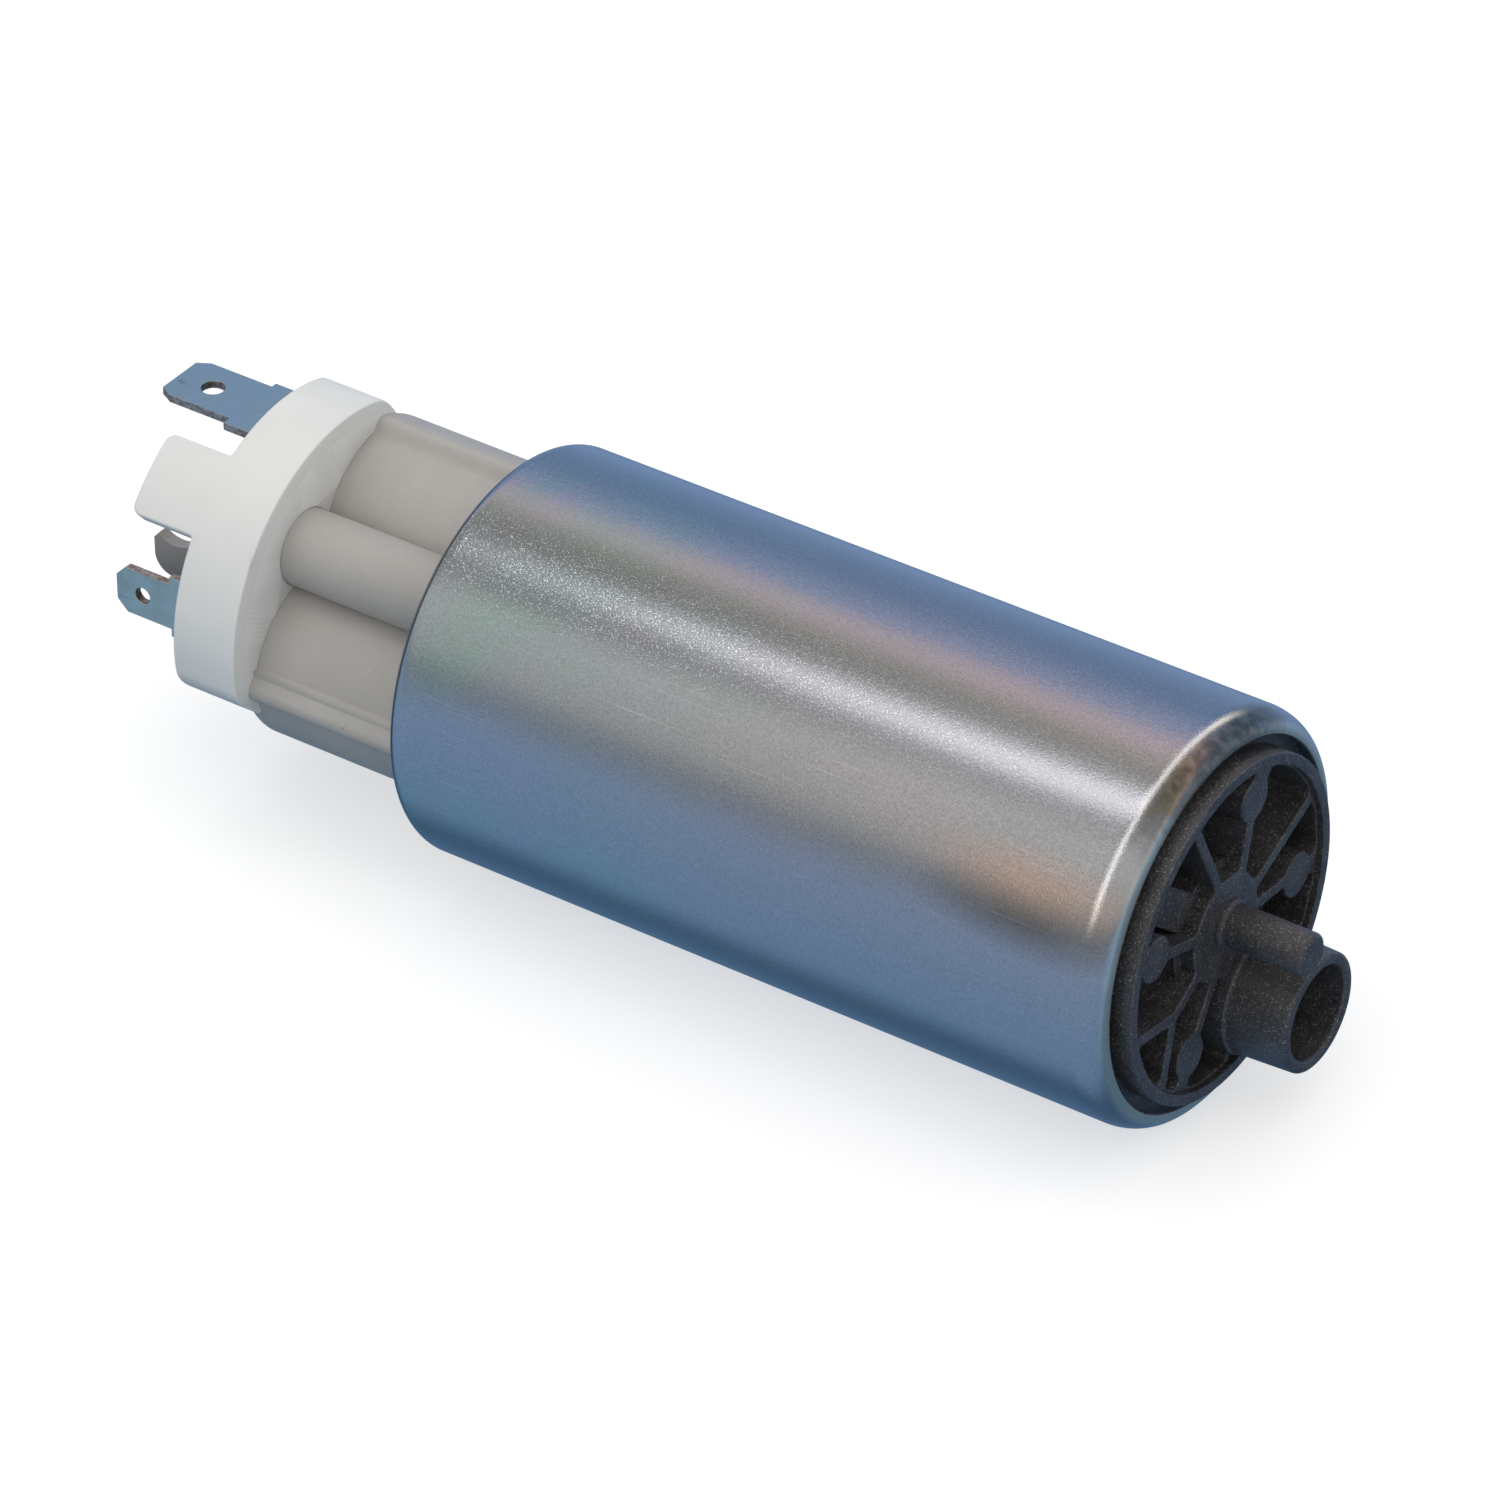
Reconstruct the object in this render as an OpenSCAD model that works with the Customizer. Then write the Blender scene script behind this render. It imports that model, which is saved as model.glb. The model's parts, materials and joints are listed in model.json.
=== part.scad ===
// In-tank turbine fuel pump, lying on its side.
// Every piece is drawn with the pump axis along z, and place() lays that axis along X.
// +X is the inlet end, and the origin is on the axis at the middle of the can.

/* [Can] */
// Outside diameter of the can
can_d = 38; // [36:0.1:42]
// Length of the can over its rolled ends
can_len = 73.2; // [72:0.1:78]
// Thickness of the can's sheet
can_wall = 1.2; // [0.8:0.05:1.4]
// Outside radius of the rolled edge at the inlet end
inlet_roll_r = 1.8; // [1.5:0.05:2]
// Outside radius of the rolled edge at the outlet end
outlet_roll_r = 1.5; // [1.45:0.05:1.8]
// Width of the flat lip past the inlet end's rolled edge
inlet_lip_w = 0.2; // [0.1:0.05:0.4]
// Width of the flat lip past the outlet end's rolled edge
outlet_lip_w = 1.1; // [0.6:0.05:1.2]

/* [Inlet cover] */
// Outside radius of the raised ring
ring_r = 15.8; // [15.5:0.05:15.9]
// Width of the raised ring
ring_w = 1.2; // [0.8:0.05:1.5]
// Height of the raised ring above the can's lip
ring_rise = 1.3; // [0.8:0.05:2]
// Depth of the rib tops below the ring's face
rib_drop = 0.6; // [0.3:0.05:1]
// Depth of the pockets below the ring's face
pocket_depth = 4.5; // [3:0.1:5]
// Thickness of the ribs
rib_w = 1.05; // [0.8:0.05:1.4]
// Radius of the central hub
hub_r = 5; // [4.6:0.1:5.4]
// Radius of the ledge round the hub
ledge_r = 5.9; // [5.5:0.1:6.2]
// Depth of the ledge and of the low block below the ring's face
ledge_drop = 2; // [1.5:0.1:2.6]
// Radius of the round ejector pads
pad_r = 2.1; // [1.8:0.05:2.3]
// Radius of the circle that the pads stand on
pad_circle_r = 11.6; // [11:0.05:12]
// Radius in the corners of the pockets
pocket_corner_r = 0.6; // [0.2:0.05:0.8]
// Distance of the inlet tube's axis from the pump axis
tube_offset = 10.35; // [10.1:0.05:10.4]
// Angle of the inlet tube round the pump axis
tube_angle = -62.4; // [-66:0.1:-58]
// Outside diameter of the inlet tube
tube_d = 11; // [10.6:0.05:11]
// Bore of the inlet tube
tube_bore_d = 8.7; // [7:0.05:9.2]
// Height of the inlet tube above the can's lip
tube_rise = 7.3; // [5:0.1:10]
// Diameter of the locating pin
pin_d = 3.9; // [3.6:0.05:4.4]
// Height of the locating pin above the can's lip
pin_rise = 9.1; // [8:0.1:12]
// Distance of the locating pin's axis from the pump axis
pin_offset = 0.5; // [0:0.05:0.6]
// Angle of the locating pin round the pump axis
pin_angle = 49; // [0:1:90]
// Distance of the can's lip from the inner face of the cover
cover_depth = 8.6; // [8.6:0.1:9.2]

/* [Pump chamber] */
// Radius of the impeller
impeller_r = 15.9; // [15.6:0.05:16]
// Thickness of the impeller
impeller_t = 3.8; // [3.4:0.05:4.2]
// Number of the impeller's vanes
vane_count = 38; // [30:1:42]
// Radius of the side channel's middle line
channel_circle_r = 13.6; // [13.4:0.05:13.7]
// Radius of the side channel's round section
channel_r = 1.4; // [1.2:0.05:1.5]
// Angle that the side channel runs round the axis
channel_sweep = 300; // [280:1:310]
// Thickness of the pump housing's floor
floor_t = 4; // [3.4:0.1:4.4]

/* [Rotor] */
// Diameter of the shaft
shaft_d = 4; // [3.6:0.05:4.2]
// Radius of the armature core
core_r = 11.4; // [11:0.05:11.5]
// Number of slots and commutator bars
slot_count = 8; // [6:1:8]
// Height of the end turns at each end
end_turn_h = 3.8; // [3:0.1:4]
// Radius of the commutator
commutator_r = 10; // [9.8:0.05:10.2]
// Thickness of the commutator bars
bar_t = 1.2; // [0.8:0.05:1.4]
// Thickness of the commutator's moulded base
base_t = 3.4; // [2.8:0.1:3.4]

/* [Magnets] */
// Inside radius of the magnets
magnet_r = 12; // [11.9:0.05:12.2]
// Length of the magnets past the core's ends, both ends together
magnet_over = 8; // [2:0.1:10]
// Angle of each magnet's arc
magnet_sweep = 136; // [120:1:140]
// Thickness of the flux ring
flux_t = 1.4; // [1:0.05:1.6]

/* [Outlet cover] */
// Distance of the can's sheet at its lip from the cover's inner face
insert_depth = 8.15; // [8:0.05:9]
// Length of grey cover that shows between the can and the cap
grey_len = 17.6; // [17.4:0.1:20]
// Angle of the round boss and of the cap's tab round the axis
boss_angle = 131; // [128:0.5:134]
// Distance of the boss from the pump axis
boss_offset = 9.7; // [9.5:0.05:9.9]
// Radius of the boss
boss_r = 3.6; // [3.5:0.05:3.8]
// Radius of each panel's curve
lobe_r = 8.6; // [8.4:0.05:9.3]
// Distance of each panel's centre of curvature from the axis
lobe_offset = 7.1; // [6.9:0.05:7.3]
// Angle between the boss and each panel's centre of curvature
lobe_angle = 86; // [84:0.5:88]
// Radius of the cover's plain back
back_r = 14.8; // [14.6:0.05:15]
// Radius of the two ribs' outer faces
cover_rib_r = 15.7; // [15.3:0.05:15.8]
// Width of the upper rib
upper_rib_w = 5; // [4:0.1:5.4]
// Angle between the boss and the middle of the upper rib
upper_rib_angle = 70; // [69:0.5:72]
// Width of the lower rib
lower_rib_w = 2.6; // [2:0.1:3]
// Angle between the boss and the middle of the lower rib
lower_rib_angle = 60; // [59:0.5:63]

/* [Outlet] */
// Distance of the outlet nozzle from the pump axis
nozzle_offset = 8.3; // [8.1:0.05:8.5]
// Outside diameter of the nozzle, for the hose
nozzle_d = 8; // [7.6:0.05:8.4]
// Bore of the nozzle
nozzle_bore_d = 5; // [4.2:0.05:5.4]
// Length of the nozzle past the cap's rim
nozzle_rise = 11; // [10:0.1:14]
// Radial height of the nozzle's barb
barb_h = 0.4; // [0.2:0.05:0.6]
// Opening travel of the check valve
check_travel = 2.5; // [1.5:0.1:2.6]
// Radius of the relief valve's ball
ball_r = 1.8; // [1.7:0.05:1.9]

/* [Brushes] */
// Distance of each brush from the pump axis
brush_offset = 7.2; // [7.15:0.05:7.3]
// Size of each brush across the radius
brush_w = 6; // [5.6:0.05:6.2]
// Size of each brush along the radius
brush_h = 4.6; // [4:0.05:4.7]
// Length of each brush
brush_len = 10; // [8:0.1:10.5]
// Length of each brush spring at rest
brush_spring_len = 13.6; // [12:0.1:14]

/* [Cap and terminals] */
// Outside radius of the cap
cap_r = 17.3; // [17.1:0.05:17.6]
// Radius of the cap's back
cap_back_r = 13.95; // [13.9:0.05:14.2]
// Angle between the boss and the square to each of the cap's two flats
cap_flat_angle = 98.4; // [97:0.1:100]
// Height of the cap
cap_h = 6.6; // [5.6:0.1:8]
// Thickness of the cap's wall
cap_wall = 1.6; // [1.2:0.05:1.65]
// Thickness of the cap's floor
cap_floor_t = 2; // [1.6:0.1:2.2]
// Width of the cap's tab
tab_w = 7.9; // [6:0.1:10]
// Height of the cap's tab above its rim
tab_rise = 6.7; // [5:0.1:8]
// Thickness of both blades
blade_t = 0.8; // [0.6:0.05:0.9]
// Width of the large blade
large_w = 6.3; // [5.9:0.05:6.5]
// Length of the large blade past its shoulders
large_len = 7.5; // [6.6:0.1:9]
// Distance from the cap's rim to the large blade's shoulders
large_rise = 8.4; // [7.8:0.1:9]
// Width of the small blade
small_w = 4.8; // [4.4:0.05:5]
// Length of the small blade past its shoulders
small_len = 6; // [5.6:0.1:8]
// Distance from the cap's rim to the small blade's shoulders
small_rise = 6.5; // [6:0.1:7]

/* [Clearances] */
// Gap between parts that are pressed or clipped together
seat_gap = 0.05; // [0.02:0.01:0.08]
// Radial clearance of the shaft in its bearings
running_gap = 0.02; // [0.01:0.005:0.06]
// Gap on each side of the impeller
side_gap = 0.05; // [0.03:0.01:0.1]
// Clearance of sliding pieces in their bores
slide_gap = 0.1; // [0.08:0.01:0.15]

/* [Hidden] */
$fn = 96;
over = 1;
lap = 0.2;
can_r = can_d / 2;
can_in_r = can_r - can_wall;
fit_r = can_in_r - seat_gap;
z_front = can_len / 2;
z_back = -can_len / 2;
inlet_lip_r = can_r - inlet_roll_r - inlet_lip_w;
outlet_lip_r = can_r - outlet_roll_r - outlet_lip_w;

ring_z = z_front + ring_rise;
rib_z = ring_z - rib_drop;
pocket_z = ring_z - pocket_depth;
ledge_z = ring_z - ledge_drop;
flange_z = z_front - can_wall - seat_gap;
flange_bevel = inlet_roll_r - can_wall + seat_gap;
cover_z = z_front - cover_depth;
tube_r = tube_d / 2;
tube_bore_r = tube_bore_d / 2;
tube_z = z_front + tube_rise;
tube_bevel = 0.4;
port_z = cover_z + 2.4;
tube_collar_w = 0.4;
ring_step_w = 0.1;
pin_r = pin_d / 2;
pin_z = z_front + pin_rise;
pin_collar_r = pin_r + 0.3;
pin_bevel = 0.4;
pad_angles = [70, -7, 244, 163];
block_angle = 141;
block_w = 2.4;
block_len = 8.1;
block_step = 1.2;
button_pocket_r = shaft_d / 2 + 0.3;
button_z = cover_z + 3.3;
button_t = 1;

chamber_r = impeller_r + 2 * side_gap;
chamber_z = cover_z - impeller_t - 2 * side_gap;
floor_z = chamber_z - floor_t;
bearing_r = shaft_d / 2 + 2;
bearing_len = 7;
bearing_hub_r = bearing_r + 2;
bearing_lip_t = 0.4;
bearing_z = chamber_z - 0.2 - bearing_len;
bearing_hub_z = bearing_z - bearing_lip_t;
housing_rib_h = 1.6;
housing_rib_w = 1.2;
vane_w = 0.55;
vane_in_r = channel_circle_r - channel_r;
vane_out_r = channel_circle_r + channel_r;
channel_start = tube_angle;
inlet_port_a = 36;
outlet_port_a = 16;

shaft_r = shaft_d / 2;
shaft_top_z = button_z - button_t - side_gap;
flat_at = shaft_r * 0.72;
flat_z = cover_z - impeller_t - side_gap;
insulator_t = 0.6;
rotor_gap = 1.5;
core_z = bearing_hub_z - rotor_gap - end_turn_h - insulator_t;
oc_lip_z = z_back + can_wall + seat_gap;
oc_plate_z = oc_lip_z + insert_depth;
plate_gap = 4.5;
face_z = oc_plate_z + plate_gap;
bar_z = face_z + bar_t;
base_z = bar_z + base_t;
core_end_z = base_z + 0.3 + end_turn_h + insulator_t;
core_len = core_z - core_end_z;
magnet_len = core_len + magnet_over;
slot_circle_r = core_r * 0.69;
slot_r = core_r * 0.18;
slot_mouth = 1.6;
turn_out_r = core_r - 1;
turn_in_r = shaft_r + 1.2;
bar_in_r = shaft_r + 1.4;
bar_gap = 0.5;
base_collar_w = 1.4;
base_collar_h = 0.8;
hook_w = 2;
hook_h = 1.8;
hook_t = 0.6;
hook_r = commutator_r + 0.9;

flux_out_r = fit_r;
flux_in_r = flux_out_r - flux_t;
flux_z = floor_z;
magnet_out_r = flux_in_r - seat_gap;
magnet_z = core_z + magnet_over / 2;
clip_t = 0.5;

oc_bevel = outlet_roll_r - can_wall + seat_gap;
oc_skirt_h = 0.85;
oc_skirt_z = oc_plate_z + oc_skirt_h;
cap_z = z_back - grey_len;
cap_rim_z = cap_z - cap_h;
oc_top_z = cap_z - cap_floor_t - 1;
oc_step_z = cap_z - 1.3;
cap_flat_at = cap_back_r - 0.15;
upper_bearing_r = shaft_r + 1.5;
upper_bearing_len = 7;
upper_bearing_z = oc_plate_z - 1;
shaft_end_z = upper_bearing_z - upper_bearing_len - 1.4;
washer_t = 0.6;
seal_r = 0.7;
seal_gap = 0.02;
seal_z = oc_lip_z + 3.4;
seal_circle_r = can_in_r - seal_r - seal_gap;

brush_face_z = face_z - running_gap;
brush_back_z = brush_face_z - brush_len;
brush_stop_z = brush_back_z - brush_spring_len - 0.3;
guide_wall = 0.9;
guide_z = face_z - 1.4;
brush_angle_a = boss_angle - 90;
brush_angle_b = boss_angle + 90;
brush_wire_r = 0.3;
brush_coil_r = brush_h / 2 - brush_wire_r - 0.2;
lead_r = 0.5;
lead_z = brush_stop_z - 1.5;

choke_angle = 47.3;
choke_offset = 9.06;
choke_core_r = 1;
choke_wire_r = 0.25;
choke_coil_r = (choke_core_r + choke_wire_r + 0.04) / cos(180 / 8);
choke_pocket_r = choke_coil_r + choke_wire_r + slide_gap;
choke_len = 11;
choke_z = oc_plate_z - 1;
choke_turns = 9;

valve_angle = boss_angle + 180;
valve_bore_r = nozzle_bore_d / 2 + 1.2;
valve_seat_r = valve_bore_r - seat_gap;
valve_seat_in_r = 2.2;
valve_seat_t = 2;
valve_end_z = cap_rim_z - 1.2;
valve_spring_len = 9.4;
valve_head_t = 1.4;
valve_seal_t = 0.8;
valve_rest_gap = 0.05;
valve_back_z = valve_end_z + valve_spring_len + 0.1;
valve_face_z = valve_back_z + valve_head_t + valve_seal_t;
valve_seat_z = valve_face_z + valve_rest_gap;
valve_head_r = valve_bore_r - 0.8;
valve_stem_r = 0.9;
valve_wire_r = 0.25;
valve_coil_r = nozzle_bore_d / 2 + valve_wire_r + 0.15;
nozzle_r = nozzle_d / 2;
nozzle_base_r = valve_bore_r + 1.3;
nozzle_base_z = valve_end_z - 1.2;
nozzle_z = cap_rim_z - nozzle_rise;
nozzle_bevel = 0.4;

relief_bore_r = ball_r + 0.6;
relief_hole_r = ball_r * 2 / 3;
relief_seat_z = cap_z + 9.6;
relief_ball_z = relief_seat_z - sqrt(pow(ball_r + valve_rest_gap, 2) - pow(relief_hole_r, 2));
relief_retainer_t = 1.4;
relief_retainer_z = oc_top_z + relief_retainer_t + 0.4;
relief_wire_r = 0.22;
relief_coil_r = ball_r - relief_wire_r - 0.1;
relief_spring_z = relief_ball_z - sqrt(pow(ball_r, 2) - pow(relief_coil_r, 2)) - 0.15;

large_y = 10.6;
large_x = 5;
large_base_w = large_w + 1.8;
large_foot_cut = 1.9;
large_shoulder_z = cap_rim_z - large_rise;
large_tip_z = large_shoulder_z - large_len;
large_hole_r = 1.1;
large_hole_from_tip = 3.8;
large_foot_z = oc_top_z + 7;
small_x = -9;
small_y = -2.5;
small_base_w = small_w + 1.6;
neck_rise = 0.3;
small_shoulder_z = cap_rim_z - small_rise;
small_tip_z = small_shoulder_z - small_len;
small_hole_r = 0.8;
small_hole_from_tip = 2.9;
small_foot_z = oc_top_z + 6;
tower_wall = 1.1;
tower_z = cap_rim_z - 1;
fin_x = -5;
fin_y = -0.3;
fin_t = 1.3;
fin_h = 4;
fin_corner_r = 2;
fin_scoop_r = 3;
fin_z = cap_rim_z - 11;
fin_dip = 2.4;
tab_corner_r = 0.9;

// Points of an arc about c, from angle a0 to a1, in n steps
function arc(c, r, a0, a1, n = 10) =
    [for (i = [0:n]) c + r * [cos(a0 + (a1 - a0) * i / n), sin(a0 + (a1 - a0) * i / n)]];

// Middle line of a coil along z
function coil_path(r, z0, z1, turns, per_turn) =
    [for (i = [0:turns * per_turn]) let (a = 360 * i / per_turn)
        [r * cos(a), r * sin(a), z0 + (z1 - z0) * i / (turns * per_turn)]];

// Least gap between one turn of a coil and the next, measured on the points of its middle line
function coil_gap(path, per_turn, wire_r) =
    min([for (i = [0:len(path) - per_turn - 1], k = [-2:2])
        let (j = i + per_turn + k) j < len(path) ? norm(path[j] - path[i]) - 2 * wire_r : 99]);

module place() { rotate([90, 0, 90]) children(); }

module rod(r, z0, z1) { translate([0, 0, min(z0, z1)]) cylinder(r = r, h = abs(z1 - z0)); }

module sleeve(r_out, r_in, z0, z1) {
    difference() {
        rod(r_out, z0, z1);
        rod(r_in, min(z0, z1) - over, max(z0, z1) + over);
    }
}

module slab(z0, z1) { translate([0, 0, min(z0, z1)]) linear_extrude(abs(z1 - z0)) children(); }

module at_polar(r, a) { rotate([0, 0, a]) translate([r, 0, 0]) children(); }

// Plate that stands square to x, drawn as [place along the axis, height]
module plate_x(at, t) {
    translate([at + t / 2, 0, 0]) rotate([0, -90, 0]) linear_extrude(t) children();
}

// Plate that lies square to y, drawn as [width, place along the axis]
module plate_y(at, t) {
    translate([0, at + t / 2, 0]) rotate([90, 0, 0]) linear_extrude(t) children();
}

// One unbroken wire of six sides, wound about z
module coil(r, wire_r, z0, z1, turns, per_turn = 8, sides = 6) {
    path = coil_path(r, z0, z1, turns, per_turn);
    n = len(path);
    slope = atan2((z1 - z0) / turns, 2 * PI * r);
    points = [for (i = [0:n - 1], j = [0:sides - 1])
        let (a = 360 * i / per_turn, b = 360 * j / sides)
        path[i] + wire_r * cos(b) * [cos(a), sin(a), 0]
            + wire_r * sin(b) * [sin(a) * sin(slope), -cos(a) * sin(slope), cos(slope)]];
    walls = [for (i = [0:n - 2], j = [0:sides - 1], k = [0:1])
        let (p = i * sides + j, q = i * sides + (j + 1) % sides)
        k == 0 ? [p, p + sides, q] : [q, p + sides, q + sides]];
    ends = [for (j = [1:sides - 2], k = [0:1])
        k == 0 ? [0, j, j + 1] : [(n - 1) * sides, (n - 1) * sides + j + 1, (n - 1) * sides + j]];
    echo("least gap of a coil", coil_gap(path, per_turn, wire_r));
    polyhedron(points = points, faces = concat(walls, ends));
}

// Straight bar of the inlet cover from p to q, as a flat shape
module bar(p, q, w) {
    d = q - p;
    translate(p) rotate([0, 0, atan2(d[1], d[0])]) translate([0, -w / 2]) square([norm(d), w]);
}

module pump_can() {
    r0 = can_r - inlet_roll_r;
    r1 = can_r - outlet_roll_r;
    color("#8fa3b5") place() rotate_extrude() polygon(concat(
        [[inlet_lip_r, z_front - can_wall], [inlet_lip_r, z_front]],
        arc([r0, z_front - inlet_roll_r], inlet_roll_r, 90, 0),
        arc([r1, z_back + outlet_roll_r], outlet_roll_r, 0, -90),
        [[outlet_lip_r, z_back], [outlet_lip_r, z_back + can_wall]],
        arc([r1, z_back + outlet_roll_r], outlet_roll_r - can_wall, -90, 0, 4),
        arc([r0, z_front - inlet_roll_r], inlet_roll_r - can_wall, 0, 90, 6)));
}

// Flat shape of the ribs, the hub and the pads that stand between the pockets
module rib_pattern() {
    reach = ring_r - ring_w / 2;
    circle(r = hub_r);
    for (a = pad_angles) rotate(a) translate([pad_circle_r, 0]) circle(r = pad_r, $fn = 48);
    rotate(tube_angle) translate([tube_offset, 0]) circle(r = tube_r + tube_collar_w);
    bar([-0.9, 4.1], [-5.2, 12.9], rib_w);
    bar([2.3, 3.4], [3.97, 10.9], rib_w);
    bar([5.8, 12.6], [4.6, 11.6], rib_w);
    bar([3.2, 1], [13.6, 5.7], rib_w);
    bar([4, -0.6], [reach, -1.3], rib_w);
    bar([-3.5, -2.3], [-8, -4.8], rib_w);
    bar([-8, -4.6], [-reach, -3.5], rib_w);
    bar([-7.9, -4.7], [-9.4, -11.4], rib_w);
    bar([-1.5, -4.6], [-6.4, -13], rib_w);
    bar([-3.8, 1.1], [-14, 4.3], rib_w);
}

module pocket_pattern() {
    offset(r = pocket_corner_r, $fn = 24) offset(delta = -pocket_corner_r) difference() {
        circle(r = ring_r - ring_w);
        rib_pattern();
    }
}

// Round-bottomed groove that starts on z = 0 and goes down, and opens upwards past it
module side_channel() {
    rotate([0, 0, channel_start - channel_sweep]) rotate_extrude(angle = channel_sweep)
        polygon(concat(arc([channel_circle_r, 0], channel_r, 180, 360, 8),
            [[channel_circle_r + channel_r, over], [channel_circle_r - channel_r, over]]));
}

module port_sector(a0, sweep, z0, z1) {
    inset = 0.15;
    rotate([0, 0, a0]) rotate_extrude(angle = sweep)
        translate([vane_in_r + inset, min(z0, z1)]) square([2 * (channel_r - inset), abs(z1 - z0)]);
}

module inlet_cover() {
    color("#2b292b") place() {
        difference() {
            union() {
                rotate_extrude() polygon([[0, cover_z], [fit_r, cover_z], [fit_r, flange_z - flange_bevel],
                    [fit_r - flange_bevel, flange_z], [0, flange_z]]);
                rod(ring_r, flange_z - lap, ring_z);
                at_polar(tube_offset, tube_angle) rod(tube_r + tube_collar_w / 2, flange_z - lap, ring_z);
            }
            difference() {
                union() {
                    slab(pocket_z, ring_z + over) pocket_pattern();
                    difference() {
                        rod(ring_r - ring_w + ring_step_w, rib_z, ring_z + over);
                        at_polar(tube_offset, tube_angle)
                            rod(tube_r + tube_collar_w / 2, rib_z - over, ring_z + 2 * over);
                    }
                }
                rod(ledge_r, pocket_z - over, ledge_z);
                slab(pocket_z - over, ledge_z) rotate(block_angle)
                    translate([0, -block_w / 2]) square([block_len, block_w]);
                slab(pocket_z - over, ledge_z - block_step) rotate(block_angle)
                    translate([0, -block_w / 2]) square([ring_r - ring_w / 2, block_w]);
            }
            at_polar(tube_offset, tube_angle) rod(tube_bore_r, port_z - lap, ring_z + over);
            translate([0, 0, cover_z]) mirror([0, 0, 1]) side_channel();
            port_sector(channel_start - inlet_port_a / 2, inlet_port_a, cover_z - over, port_z);
            rod(button_pocket_r, cover_z - over, button_z);
        }
        at_polar(pin_offset, pin_angle) {
            rotate_extrude() polygon([[0, rib_z - 0.5], [pin_r, rib_z - 0.5], [pin_r, pin_z - pin_bevel],
                [pin_r - pin_bevel, pin_z], [0, pin_z]]);
            rod(pin_collar_r, rib_z - 0.5, rib_z + 0.4);
        }
        at_polar(tube_offset, tube_angle) rotate_extrude() polygon([[tube_bore_r, ring_z - over],
            [tube_r, ring_z - over], [tube_r, tube_z - tube_bevel], [tube_r - tube_bevel, tube_z],
            [tube_bore_r, tube_z]]);
    }
}

module thrust_button() {
    color("#b9bcc0") place() rod(button_pocket_r - seat_gap, button_z - button_t, button_z);
}

module d_bore(r, z0, z1) {
    intersection() {
        rod(r, z0, z1);
        translate([-2 * r, -2 * r, min(z0, z1)]) cube([4 * r, 2 * r + flat_at + running_gap, abs(z1 - z0)]);
    }
}

module impeller() {
    z1 = cover_z - side_gap;
    z0 = z1 - impeller_t;
    hub_relief = 0.3;
    color("#4a4440") place() difference() {
        rod(impeller_r, z0, z1);
        difference() {
            sleeve(vane_out_r, vane_in_r, z0 - over, z1 + over);
            for (i = [0:vane_count - 1]) rotate([0, 0, 360 * i / vane_count])
                translate([vane_in_r - over, -vane_w / 2, z0 - 2 * over])
                    cube([2 * channel_r + 2 * over, vane_w, impeller_t + 4 * over]);
        }
        d_bore(shaft_r + running_gap, z0 - over, z1 + over);
        for (a = [0, 120, 240]) at_polar(6.4, a) rod(1, z0 - over, z1 + over);
        for (z = [z0 - over, z1 - hub_relief]) sleeve(vane_in_r - 1.4, 8.6, z, z + hub_relief + over);
    }
}

module pump_housing() {
    port_end = channel_start - channel_sweep;
    color("#34322f") place() difference() {
        union() {
            rod(fit_r, floor_z, cover_z);
            rod(bearing_hub_r, bearing_hub_z, floor_z + lap);
            for (a = [0:60:300]) rotate([0, 0, a])
                translate([bearing_hub_r - 1, -housing_rib_w / 2, floor_z - housing_rib_h])
                    cube([flux_in_r - bearing_hub_r - 1, housing_rib_w, housing_rib_h + lap]);
        }
        rod(chamber_r, chamber_z, cover_z + over);
        rod(bearing_r + seat_gap, bearing_z, chamber_z + over);
        rod(shaft_r + 0.4, bearing_hub_z - over, chamber_z);
        translate([0, 0, chamber_z]) side_channel();
        port_sector(port_end, outlet_port_a, floor_z - over, chamber_z);
    }
}

module lower_bearing() {
    color("#9a7a4e") place() sleeve(bearing_r, shaft_r + running_gap, bearing_z,
        bearing_z + bearing_len);
}

module shaft() {
    bevel = 0.3;
    color("#b4b8bc") place() difference() {
        rotate_extrude() polygon([[0, shaft_end_z], [shaft_r - bevel, shaft_end_z],
            [shaft_r, shaft_end_z + bevel], [shaft_r, shaft_top_z - bevel],
            [shaft_r - bevel, shaft_top_z], [0, shaft_top_z]]);
        translate([-shaft_r - over, flat_at, flat_z - 0.2])
            cube([2 * shaft_r + 2 * over, shaft_r, shaft_top_z - flat_z + over]);
    }
}

module thrust_washer() {
    color("#d8d2c0") place() sleeve(upper_bearing_r - 0.2, shaft_r + running_gap,
        upper_bearing_z + running_gap, upper_bearing_z + running_gap + washer_t);
}

module lamination(grow) {
    difference() {
        circle(r = core_r - grow);
        circle(r = shaft_r);
        for (i = [0:slot_count - 1]) rotate(360 * i / slot_count) {
            translate([slot_circle_r, 0]) circle(r = slot_r + grow, $fn = 48);
            translate([slot_circle_r, -slot_mouth / 2]) square([core_r, slot_mouth]);
        }
    }
}

module armature_core() {
    color("#6f7276") place() slab(core_end_z, core_z) lamination(0);
}

module slot_insulators() {
    color("#2f6f5a") place() for (z = [core_z, core_end_z - insulator_t])
        slab(z, z + insulator_t) lamination(0.1);
}

module windings() {
    round = end_turn_h * 0.35;
    low = [turn_in_r, 0];
    color("#a85a2a") place() {
        for (z = [core_z + insulator_t, core_end_z - insulator_t - end_turn_h])
            translate([0, 0, z]) rotate_extrude() polygon(concat([low, [turn_out_r, 0]],
                arc([turn_out_r - round, end_turn_h - round], round, 0, 90, 6),
                arc([turn_in_r + round, end_turn_h - round], round, 90, 180, 6)));
        for (i = [0:slot_count - 1]) at_polar(slot_circle_r, 360 * i / slot_count)
            rod(slot_r - slide_gap, core_end_z - insulator_t - 0.2, core_z + insulator_t + 0.2);
    }
}

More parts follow.
